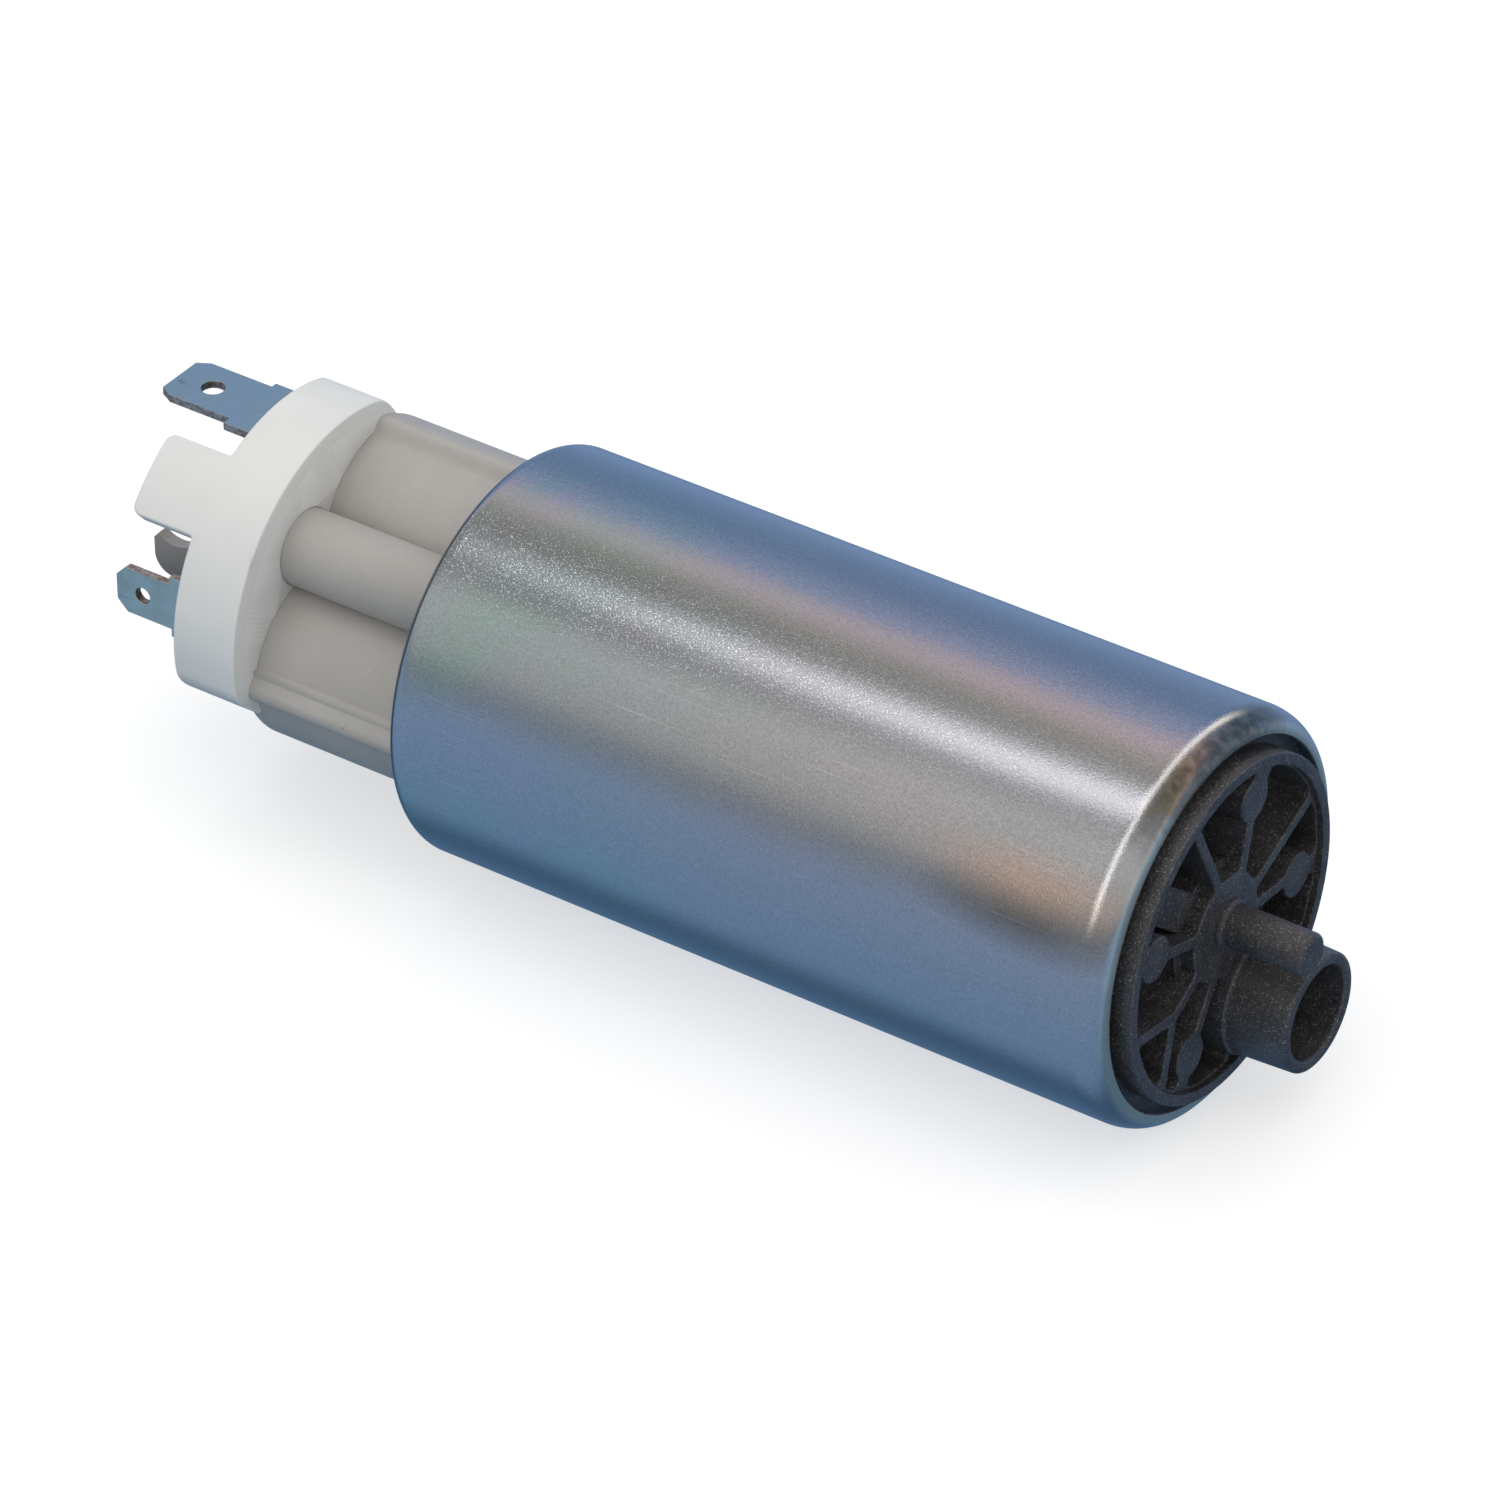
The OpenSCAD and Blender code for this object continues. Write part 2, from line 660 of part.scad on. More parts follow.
module commutator_base() {
    color("#7a4a2c") place() difference() {
        union() {
            rod(commutator_r - hook_t, bar_z, base_z - base_collar_h);
            rod(bar_in_r + base_collar_w, bar_z, base_z);
        }
        rod(shaft_r, bar_z - over, base_z + over);
    }
}

module commutator_bars() {
    color("#b87445") place() for (i = [0:slot_count - 1]) rotate([0, 0, 360 * (i + 0.5) / slot_count]) {
        difference() {
            rotate([0, 0, -180 / slot_count]) rotate_extrude(angle = 360 / slot_count)
                translate([bar_in_r, face_z]) square([commutator_r - bar_in_r, bar_t]);
            for (s = [-1, 1]) rotate([0, 0, s * 180 / slot_count])
                translate([0, -bar_gap / 2, face_z - over]) cube([commutator_r + over, bar_gap, bar_t + 2 * over]);
        }
        translate([commutator_r - lap, -hook_w / 2, face_z])
            cube([hook_r - commutator_r + lap, hook_w, bar_t]);
        translate([hook_r - hook_t, -hook_w / 2, face_z]) cube([hook_t, hook_w, bar_t + hook_h]);
    }
}

module magnet(middle) {
    rotate([0, 0, middle - magnet_sweep / 2]) rotate_extrude(angle = magnet_sweep)
        translate([magnet_r, magnet_z - magnet_len]) square([magnet_out_r - magnet_r, magnet_len]);
}

module magnet_upper() { color("#4d4f52") place() magnet(90); }

module magnet_lower() { color("#55575a") place() magnet(-90); }

module magnet_clips() {
    gap = 180 - magnet_sweep;
    leg = magnet_out_r - magnet_r - 1.2;
    edge = clip_t / 2 + seat_gap;
    color("#a9adb0") place() for (a = [0, 180]) rotate([0, 0, a]) {
        rotate([0, 0, -gap / 2 + 1.5]) rotate_extrude(angle = gap - 3)
            translate([magnet_out_r - clip_t, magnet_z - magnet_len + 2]) square([clip_t, magnet_len - 4]);
        for (s = [-1, 1]) rotate([0, 0, s * gap / 2])
            translate([magnet_out_r - leg, -s * edge - clip_t / 2, magnet_z - magnet_len + 2])
                cube([leg - 0.2, clip_t, magnet_len - 4]);
    }
}

module flux_ring() { color("#868b90") place() sleeve(flux_out_r, flux_in_r, oc_skirt_z + seat_gap, flux_z); }

// Cross-section of the outlet cover past the can, made larger all round by grow
module cover_section(grow) {
    intersection() {
        circle(r = back_r + grow);
        union() {
            circle(r = brush_offset);
            for (s = [-1, 1]) rotate(boss_angle + s * lobe_angle)
                translate([lobe_offset, 0]) circle(r = lobe_r + grow);
            rotate(boss_angle + 180) translate([-grow, -back_r - over])
                square([back_r + over, 2 * (back_r + over)]);
        }
    }
    rotate(boss_angle) translate([boss_offset, 0]) circle(r = boss_r + grow);
}

// Outline of the cap, made smaller all round by inset
module cap_outline(inset) {
    at = cap_flat_at - inset;
    square_to = [cos(cap_flat_angle), sin(cap_flat_angle)];
    along = [sin(cap_flat_angle), -cos(cap_flat_angle)];
    near = at * square_to;
    far = near + can_d * along;
    rotate(boss_angle) {
        circle(r = cap_back_r - inset);
        intersection() {
            circle(r = cap_r - inset);
            polygon([near, far, [far[0], -far[1]], [near[0], -near[1]]]);
        }
    }
}

module brush_box(angle, grow, z0, z1) {
    rotate([0, 0, angle]) translate([brush_offset - brush_h / 2 - grow, -brush_w / 2 - grow, min(z0, z1)])
        cube([brush_h + 2 * grow, brush_w + 2 * grow, abs(z1 - z0)]);
}

module fin_shape() {
    top = fin_h / 2;
    polygon(concat([[oc_top_z, -top]],
        arc([fin_z + fin_corner_r, fin_corner_r - top], fin_corner_r, 270, 180),
        [[fin_z, top - 0.4], [fin_z + 0.4, top]],
        arc([fin_z + 2.3, top + fin_dip], fin_scoop_r, 231, 305, 8),
        [[oc_top_z, top]]));
}

module outlet_cover() {
    color("#a9a49e") place() difference() {
        union() {
            rotate_extrude() polygon([[0, oc_plate_z], [fit_r, oc_plate_z], [fit_r, oc_lip_z + oc_bevel],
                [fit_r - oc_bevel, oc_lip_z], [0, oc_lip_z]]);
            sleeve(fit_r, flux_in_r, oc_plate_z - lap, oc_skirt_z);
            slab(oc_step_z, oc_lip_z + lap) cover_section(0);
            slab(oc_top_z, oc_step_z + lap) intersection() {
                cover_section(0);
                cap_outline(0);
            }
            intersection() {
                sleeve(cover_rib_r, back_r - 1, cap_z, oc_lip_z + lap);
                for (rib = [[-upper_rib_angle, upper_rib_w], [lower_rib_angle, lower_rib_w]])
                    rotate([0, 0, boss_angle + rib[0]]) translate([0, -rib[1] / 2, cap_z - over])
                        cube([can_r, rib[1], can_len]);
            }
            for (a = [brush_angle_a, brush_angle_b])
                brush_box(a, slide_gap + guide_wall, oc_plate_z - lap, guide_z);
            at_polar(nozzle_offset, valve_angle) {
                rod(nozzle_base_r, nozzle_base_z + 0.4, oc_top_z + lap);
                rotate_extrude() polygon([[0, nozzle_z], [nozzle_r - nozzle_bevel, nozzle_z],
                    [nozzle_r + barb_h, nozzle_z + 2], [nozzle_r, nozzle_z + 2.6],
                    [nozzle_r, nozzle_base_z], [nozzle_base_r - 0.6, nozzle_base_z],
                    [nozzle_base_r, nozzle_base_z + 0.6], [0, nozzle_base_z + 0.6]]);
            }
            slab(tower_z, oc_top_z + lap) intersection() {
                cap_outline(cap_wall + slide_gap);
                union() {
                    translate([large_x - large_base_w / 2 - tower_wall, large_y - blade_t / 2 - tower_wall])
                        square([large_base_w + 2 * tower_wall, blade_t + 2 * tower_wall]);
                    translate([small_x - blade_t / 2 - tower_wall, small_y - small_base_w / 2 - tower_wall])
                        square([blade_t + 2 * tower_wall, small_base_w + 2 * tower_wall]);
                }
            }
            translate([0, fin_y, 0]) plate_x(fin_x, fin_t) fin_shape();
        }
        rod(upper_bearing_r + seat_gap, upper_bearing_z - upper_bearing_len, oc_plate_z + over);
        rod(upper_bearing_r + 0.3, upper_bearing_z, oc_plate_z + over);
        rod(shaft_r + 0.4, shaft_end_z - 0.6, oc_plate_z);
        rotate_extrude() translate([seal_circle_r - seal_r - seal_gap, seal_z - seal_r - seat_gap])
            square([can_wall + 2 * seal_r, 2 * (seal_r + seat_gap)]);
        for (a = [brush_angle_a, brush_angle_b]) {
            brush_box(a, slide_gap, brush_stop_z, guide_z + over);
            at_polar(brush_offset, a) rod(lead_r + slide_gap, lead_z, brush_stop_z + over);
        }
        for (s = [-1, 1]) at_polar(choke_offset, boss_angle + s * choke_angle)
            rod(choke_pocket_r, choke_z - choke_len - 0.3, oc_plate_z + over);
        at_polar(nozzle_offset, valve_angle) {
            rod(valve_bore_r, valve_end_z, oc_plate_z + over);
            rod(nozzle_bore_d / 2, nozzle_z - over, valve_end_z + over);
        }
        at_polar(boss_offset, boss_angle) {
            rod(relief_hole_r + 0.6, relief_seat_z + 2, oc_plate_z + over);
            rod(relief_hole_r, relief_seat_z - over, relief_seat_z + 2 + over);
            rod(relief_bore_r, oc_top_z - over, relief_seat_z);
        }
        translate([large_x, 0, 0]) plate_y(large_y, blade_t + 2 * seat_gap)
            translate([-large_base_w / 2 - seat_gap, 0]) {
                translate([0, tower_z - over]) square([large_base_w + can_r, oc_top_z - tower_z + over]);
                translate([0, oc_top_z - lap])
                    square([large_base_w - large_foot_cut + 2 * seat_gap, large_foot_z - oc_top_z + lap]);
            }
        translate([0, small_y, 0]) plate_x(small_x, blade_t + 2 * seat_gap)
            translate([tower_z - over, -small_base_w / 2 - seat_gap])
                square([small_foot_z - tower_z + over, small_base_w + 2 * seat_gap]);
    }
}

module upper_bearing() {
    color("#9a7a4e") place() sleeve(upper_bearing_r, shaft_r + running_gap,
        upper_bearing_z - upper_bearing_len, upper_bearing_z);
}

module cover_seal() {
    color("#1c1c1c") place() rotate_extrude() translate([seal_circle_r, seal_z]) circle(r = seal_r, $fn = 24);
}

module brush(angle) { brush_box(angle, 0, brush_back_z, brush_face_z); }

module brush_a() { color("#3a3a3c") place() brush(brush_angle_a); }

module brush_b() { color("#3a3a3c") place() brush(brush_angle_b); }

module brush_spring(angle) {
    at_polar(brush_offset, angle) coil(brush_coil_r, brush_wire_r, brush_stop_z + brush_wire_r + 0.15,
        brush_back_z - brush_wire_r - 0.15, 9);
}

module brush_spring_a() { color("#c2c4c6") place() brush_spring(brush_angle_a); }

module brush_spring_b() { color("#c2c4c6") place() brush_spring(brush_angle_b); }

module brush_lead(angle) { at_polar(brush_offset, angle) rod(lead_r, lead_z + 0.1, brush_back_z); }

module brush_lead_a() { color("#b06a3c") place() brush_lead(brush_angle_a); }

module brush_lead_b() { color("#b06a3c") place() brush_lead(brush_angle_b); }

module choke_core(side) {
    at_polar(choke_offset, boss_angle + side * choke_angle) {
        rod(choke_core_r, choke_z - choke_len, choke_z);
        rod(choke_pocket_r - slide_gap, choke_z - choke_len, choke_z - choke_len + 0.8);
    }
}

module choke_core_a() { color("#4b4744") place() choke_core(-1); }

module choke_core_b() { color("#4b4744") place() choke_core(1); }

module choke_coil(side) {
    at_polar(choke_offset, boss_angle + side * choke_angle)
        coil(choke_coil_r, choke_wire_r, choke_z - choke_len + 1.3, choke_z - 0.6, choke_turns);
}

module choke_coil_a() { color("#b0642f") place() choke_coil(-1); }

module choke_coil_b() { color("#b0642f") place() choke_coil(1); }

module check_valve_seat() {
    color("#c9c4b4") place() at_polar(nozzle_offset, valve_angle)
        sleeve(valve_seat_r, valve_seat_in_r, valve_seat_z, valve_seat_z + valve_seat_t);
}

module check_valve_poppet() {
    guide_t = 0.9;
    color("#e0dccf") place() at_polar(nozzle_offset, valve_angle) {
        rod(valve_head_r, valve_back_z, valve_face_z - valve_seal_t);
        rod(valve_stem_r, valve_back_z - valve_spring_len + check_travel + 0.6, valve_back_z + 0.2);
        rod(valve_stem_r, valve_face_z - valve_seal_t - 0.2, valve_face_z + valve_rest_gap + valve_seat_t + 1);
        intersection() {
            rod(valve_bore_r - slide_gap, valve_back_z, valve_back_z + valve_head_t);
            for (a = [0, 90]) rotate([0, 0, a]) translate([-valve_bore_r, -guide_t / 2, valve_back_z])
                cube([2 * valve_bore_r, guide_t, valve_head_t]);
        }
    }
}

module check_valve_seal() {
    color("#20201f") place() at_polar(nozzle_offset, valve_angle)
        sleeve(valve_head_r, valve_stem_r + running_gap, valve_face_z - valve_seal_t, valve_face_z);
}

module check_valve_spring() {
    color("#c2c4c6") place() at_polar(nozzle_offset, valve_angle)
        coil(valve_coil_r, valve_wire_r, valve_end_z + valve_wire_r + 0.1, valve_back_z - valve_wire_r - 0.1, 6);
}

module relief_ball() {
    color("#c6c9cc") place() at_polar(boss_offset, boss_angle) translate([0, 0, relief_ball_z])
        sphere(r = ball_r, $fn = 48);
}

module relief_spring() {
    color("#c2c4c6") place() at_polar(boss_offset, boss_angle)
        coil(relief_coil_r, relief_wire_r, relief_retainer_z + relief_wire_r + 0.1,
            relief_spring_z - relief_wire_r, 5);
}

module relief_retainer() {
    color("#b9a25e") place() at_polar(boss_offset, boss_angle)
        sleeve(relief_bore_r - seat_gap, relief_hole_r, relief_retainer_z - relief_retainer_t, relief_retainer_z);
}

// Flat outline of the cap's tab, drawn as [place along the axis, place across the tab]
module tab_shape() {
    end = cap_rim_z - tab_rise;
    half = tab_w / 2;
    polygon(concat([[cap_rim_z + over, half]],
        arc([end + tab_corner_r, half - tab_corner_r], tab_corner_r, 90, 180, 6),
        arc([end + tab_corner_r, tab_corner_r - half], tab_corner_r, 180, 270, 6),
        [[cap_rim_z + over, -half]]));
}

module terminal_cap() {
    end = cap_rim_z - tab_rise;
    color("#e4e4e2") place() difference() {
        slab(end, cap_z) cap_outline(0);
        slab(end - over, cap_z - cap_floor_t) cap_outline(cap_wall);
        slab(oc_top_z - seat_gap, cap_z + over) cover_section(seat_gap);
        at_polar(nozzle_offset, valve_angle) rod(nozzle_base_r + slide_gap, end - over, cap_z + over);
        difference() {
            rod(can_r, end - over, cap_rim_z);
            rotate([0, 0, boss_angle]) plate_x(cap_r - cap_wall, 4 * cap_wall) tab_shape();
        }
    }
}

// Flat outline of a blade with its tip at y = 0 and its foot at y = total, narrower past y = neck
module blade(w, base_w, len, neck, total, foot_cut, bevel_w, bevel_len, hole_r, hole_at) {
    difference() {
        union() {
            polygon([[-w / 2 + bevel_w, 0], [w / 2 - bevel_w, 0], [w / 2, bevel_len],
                [w / 2, len + 0.2], [-w / 2, len + 0.2], [-w / 2, bevel_len]]);
            translate([-base_w / 2, len]) square([base_w, neck - len]);
            translate([-base_w / 2, len]) square([base_w - foot_cut, total - len]);
        }
        translate([0, hole_at]) circle(r = hole_r, $fn = 32);
    }
}

module terminal_large() {
    color("#7f97a8") place() translate([large_x, 0, large_tip_z]) plate_y(large_y, blade_t)
        blade(large_w, large_base_w, large_len, large_len + large_rise - neck_rise,
            large_foot_z - large_tip_z, large_foot_cut, 0.7, 1.3, large_hole_r, large_hole_from_tip);
}

module terminal_small() {
    color("#7f97a8") place() translate([0, small_y, small_tip_z]) plate_x(small_x, blade_t)
        rotate(-90) blade(small_w, small_base_w, small_len, small_len + small_rise - neck_rise,
            small_foot_z - small_tip_z, 0, 1.1, 1.1, small_hole_r, small_hole_from_tip);
}

pump_can();
inlet_cover();
thrust_button();
impeller();
pump_housing();
lower_bearing();
shaft();
thrust_washer();
armature_core();
windings();
slot_insulators();
commutator_base();
commutator_bars();
magnet_upper();
magnet_lower();
magnet_clips();
flux_ring();
outlet_cover();
upper_bearing();
cover_seal();
brush_a();
brush_b();
brush_spring_a();
brush_spring_b();
brush_lead_a();
brush_lead_b();
choke_core_a();
choke_core_b();
choke_coil_a();
choke_coil_b();
check_valve_seat();
check_valve_poppet();
check_valve_seal();
check_valve_spring();
relief_ball();
relief_spring();
relief_retainer();
terminal_cap();
terminal_large();
terminal_small();
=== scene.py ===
import json
import math

import bmesh
import bpy
from mathutils import Matrix, Vector

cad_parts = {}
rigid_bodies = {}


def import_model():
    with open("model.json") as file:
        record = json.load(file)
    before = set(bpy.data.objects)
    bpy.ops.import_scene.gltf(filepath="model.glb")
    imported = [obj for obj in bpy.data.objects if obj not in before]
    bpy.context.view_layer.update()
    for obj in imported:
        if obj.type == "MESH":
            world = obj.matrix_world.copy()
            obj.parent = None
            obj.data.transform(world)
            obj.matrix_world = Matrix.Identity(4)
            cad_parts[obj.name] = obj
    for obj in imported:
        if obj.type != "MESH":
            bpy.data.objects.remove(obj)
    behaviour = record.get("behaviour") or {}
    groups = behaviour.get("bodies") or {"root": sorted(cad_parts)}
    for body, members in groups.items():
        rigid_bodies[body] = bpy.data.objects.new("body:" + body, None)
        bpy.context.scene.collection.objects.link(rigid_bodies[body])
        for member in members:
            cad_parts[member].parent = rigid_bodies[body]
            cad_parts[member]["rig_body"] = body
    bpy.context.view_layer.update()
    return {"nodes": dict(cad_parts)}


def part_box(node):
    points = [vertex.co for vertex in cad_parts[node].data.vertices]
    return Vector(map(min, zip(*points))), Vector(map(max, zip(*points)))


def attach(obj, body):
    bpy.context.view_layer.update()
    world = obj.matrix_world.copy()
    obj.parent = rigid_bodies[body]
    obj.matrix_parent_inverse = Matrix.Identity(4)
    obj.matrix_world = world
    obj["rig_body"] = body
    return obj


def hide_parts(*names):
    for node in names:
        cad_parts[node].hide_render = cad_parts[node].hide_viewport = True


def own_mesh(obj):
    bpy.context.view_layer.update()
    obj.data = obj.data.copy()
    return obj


bl_info = {
    "name": "In-tank fuel pump",
    "version": (1, 0, 0),
    "blender": (4, 5, 0),
    "location": "View3D > Sidebar > Fuel pump",
    "description": "Dresses the packed fuel pump with its finished pieces, materials and studio",
    "category": "Object",
}

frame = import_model()
MM = 0.001

# angles in the YZ plane, from +Y towards +Z
BOSS_ANGLE = math.radians(131)
TUBE_ANGLE = math.radians(-62.4)
BLOCK_ANGLE = math.radians(141)
PIN_ANGLE = math.radians(49)

# sizes that more than one piece uses
CAN_RADIUS = 19.0 * MM
COVER_RADIUS = 14.8 * MM
CAP_RADIUS = 17.3 * MM
CAP_WALL = 1.6 * MM
CAP_DEPTH = 6.6 * MM
ROUND_STEPS = 720

# corners of a CAD copy that are closer than this are one corner
MERGE = 0.002 * MM
# places that are closer than this are the same place
SAME = 1e-7


# values a user may change
class PumpSizes(bpy.types.PropertyGroup):
    cover_edge: bpy.props.FloatProperty(
        name="Cover edge radius", description="Radius on the moulded edges of the inlet cover",
        default=0.14 * MM, min=0.0, unit="LENGTH")
    cap_edge: bpy.props.FloatProperty(
        name="Cap edge radius", description="Radius on the edges of the white cap",
        default=0.22 * MM, min=0.0, unit="LENGTH")
    blade_edge: bpy.props.FloatProperty(
        name="Blade edge radius", description="Radius on the stamped edges of the blades",
        default=0.06 * MM, min=0.0, unit="LENGTH")
    can_wall: bpy.props.FloatProperty(
        name="Can wall", description="Thickness of the can's sheet", default=1.2 * MM, unit="LENGTH")
    inlet_roll: bpy.props.FloatProperty(
        name="Inlet roll", description="Radial depth of the can's rolled edge at the inlet end",
        default=1.8 * MM, unit="LENGTH")
    inlet_roll_length: bpy.props.FloatProperty(
        name="Inlet roll length", description="Length along the can of the rolled edge at the inlet end",
        default=2.9 * MM, unit="LENGTH")
    outlet_roll: bpy.props.FloatProperty(
        name="Outlet roll", description="Radius of the can's rolled edge at the outlet end",
        default=1.5 * MM, unit="LENGTH")


class PumpColours(bpy.types.PropertyGroup):
    can: bpy.props.FloatVectorProperty(
        name="Can", description="Zinc plate of the can", subtype="COLOR", default=(0.345, 0.342, 0.342))
    can_cool: bpy.props.FloatVectorProperty(
        name="Can film, cool", description="Cool patches of the passivate film", subtype="COLOR",
        default=(0.325, 0.342, 0.345))
    can_warm: bpy.props.FloatVectorProperty(
        name="Can film, warm", description="Warm patches of the passivate film", subtype="COLOR",
        default=(0.375, 0.338, 0.335))
    black: bpy.props.FloatVectorProperty(
        name="Inlet cover", description="Glass-filled black plastic", subtype="COLOR",
        default=(0.028, 0.026, 0.027))
    grey: bpy.props.FloatVectorProperty(
        name="Outlet cover", description="Warm grey plastic", subtype="COLOR", default=(0.44, 0.418, 0.395))
    white: bpy.props.FloatVectorProperty(
        name="Cap", description="White plastic of the cap", subtype="COLOR", default=(0.80, 0.80, 0.785))
    tin: bpy.props.FloatVectorProperty(
        name="Blades", description="Tin plate of the blades", subtype="COLOR", default=(0.27, 0.38, 0.40))


class StudioSettings(bpy.types.PropertyGroup):
    key_power: bpy.props.FloatProperty(
        name="Key light", description="Power of the softbox overhead", default=0.112, subtype="POWER")
    fill: bpy.props.FloatProperty(
        name="Fill", description="Strength of the surround's even light", default=1.0, min=0.0,
        subtype="FACTOR")


# finishes
class Nodes:
    """Adds shading nodes to one tree."""

    def __init__(self, tree):
        self.tree = tree

    def put(self, socket, value):
        """Links the socket to another one, or sets its value."""
        if isinstance(value, bpy.types.NodeSocket):
            self.tree.links.new(value, socket)
        elif socket.type == "RGBA":
            socket.default_value = (*value, 1.0)[:4]
        else:
            socket.default_value = value

    def node(self, kind, operation=None, **sockets):
        made = self.tree.nodes.new(kind)
        if operation:
            made.operation = operation
        for key, value in sockets.items():
            self.put(made.inputs[key.replace("_", " ")], value)
        return made

    def spread(self, value, low, high, to_low=0.0, to_high=1.0):
        """Maps low to to_low and high to to_high, and holds still beyond them."""
        return self.node("ShaderNodeMapRange", Value=value, From_Min=low, From_Max=high,
                         To_Min=to_low, To_Max=to_high).outputs["Result"]

    def math(self, operation, a, b=0.0):
        made = self.node("ShaderNodeMath", operation)
        self.put(made.inputs[0], a)
        self.put(made.inputs[1], b)
        return made.outputs[0]

    def plus(self, a, b):
        return self.math("ADD", a, b)

    def times(self, a, b):
        return self.math("MULTIPLY", a, b)

    def mix(self, factor, a, b, blend="MIX"):
        made = self.node("ShaderNodeMix")
        made.data_type = "RGBA"
        made.blend_type = blend
        for number, value in ((0, factor), (6, a), (7, b)):
            self.put(made.inputs[number], value)
        return made.outputs[2]

    def ramp(self, value, stops):
        made = self.node("ShaderNodeValToRGB", Fac=value)
        elements = made.color_ramp.elements
        while len(elements) < len(stops):
            elements.new(0.5)
        for element, (at, color) in zip(elements, stops):
            element.position = at
            element.color = (*color, 1.0)
        return made.outputs["Color"]

    def round_axis(self, y, z):
        """The angle round the pump's axis, from straight up towards the front."""
        return self.math("ARCTAN2", self.times(y, -1.0), z)


class Finish(Nodes):
    """A node-built material on Object coordinates."""

    def __init__(self, name, color, metallic, roughness):
        self.material = bpy.data.materials.new(name)
        self.material.use_nodes = True
        super().__init__(self.material.node_tree)
        self.shader = self.tree.nodes["Principled BSDF"]
        self.texco = self.node("ShaderNodeTexCoord")
        self.normal = None
        self.set(Base_Color=(*color, 1.0), Metallic=metallic, Roughness=roughness)

    def apart(self, output="Object"):
        """The three parts of the place on the piece, or of another coordinate."""
        return self.node("ShaderNodeSeparateXYZ", Vector=self.texco.outputs[output]).outputs

    def place(self, scale=(1, 1, 1), turn=(0, 0, 0), shift=(0, 0, 0)):
        return self.node("ShaderNodeMapping", Vector=self.texco.outputs["Object"], Scale=scale,
                         Rotation=[math.radians(a) for a in turn], Location=shift).outputs["Vector"]

    def noise(self, scale, detail=2.0, roughness=0.5, distortion=0.0, vector=None):
        return self.node("ShaderNodeTexNoise", Vector=vector or self.texco.outputs["Object"], Scale=scale,
                         Detail=detail, Roughness=roughness, Distortion=distortion).outputs["Fac"]

    def cells(self, scale):
        return self.node("ShaderNodeTexVoronoi", Vector=self.texco.outputs["Object"],
                         Scale=scale).outputs["Distance"]

    def ragged(self, value, wander, reach, low, high, to_low=0.0, to_high=1.0):
        """A spread whose place wanders to and fro by reach."""
        moved = self.plus(value, self.spread(wander, 0.3, 0.7, -reach, reach))
        return self.spread(moved, low, high, to_low, to_high)

    def hairlines(self, turn, along, across, threshold):
        """Sparse fine scratches that run one way."""
        lines = self.noise(1.0, 1.0, vector=self.place((along, along, across), turn))
        return self.spread(lines, threshold, threshold + 0.035)

    def bump(self, height, distance, strength):
        made = self.node("ShaderNodeBump", Height=height, Distance=distance, Strength=strength)
        if self.normal:
            self.tree.links.new(self.normal, made.inputs["Normal"])
        self.normal = made.outputs["Normal"]
        self.tree.links.new(self.normal, self.shader.inputs["Normal"])

    def color(self, value):
        self.put(self.shader.inputs["Base Color"], value)

    def roughness(self, value):
        self.put(self.shader.inputs["Roughness"], value)

    def set(self, **sockets):
        for key, value in sockets.items():
            self.shader.inputs[key.replace("_", " ")].default_value = value


def shade(color, share):
    """The colour times one share, or times a share for each channel."""
    shares = share if isinstance(share, tuple) else (share,) * 3
    return [v * n for v, n in zip(color, shares)]


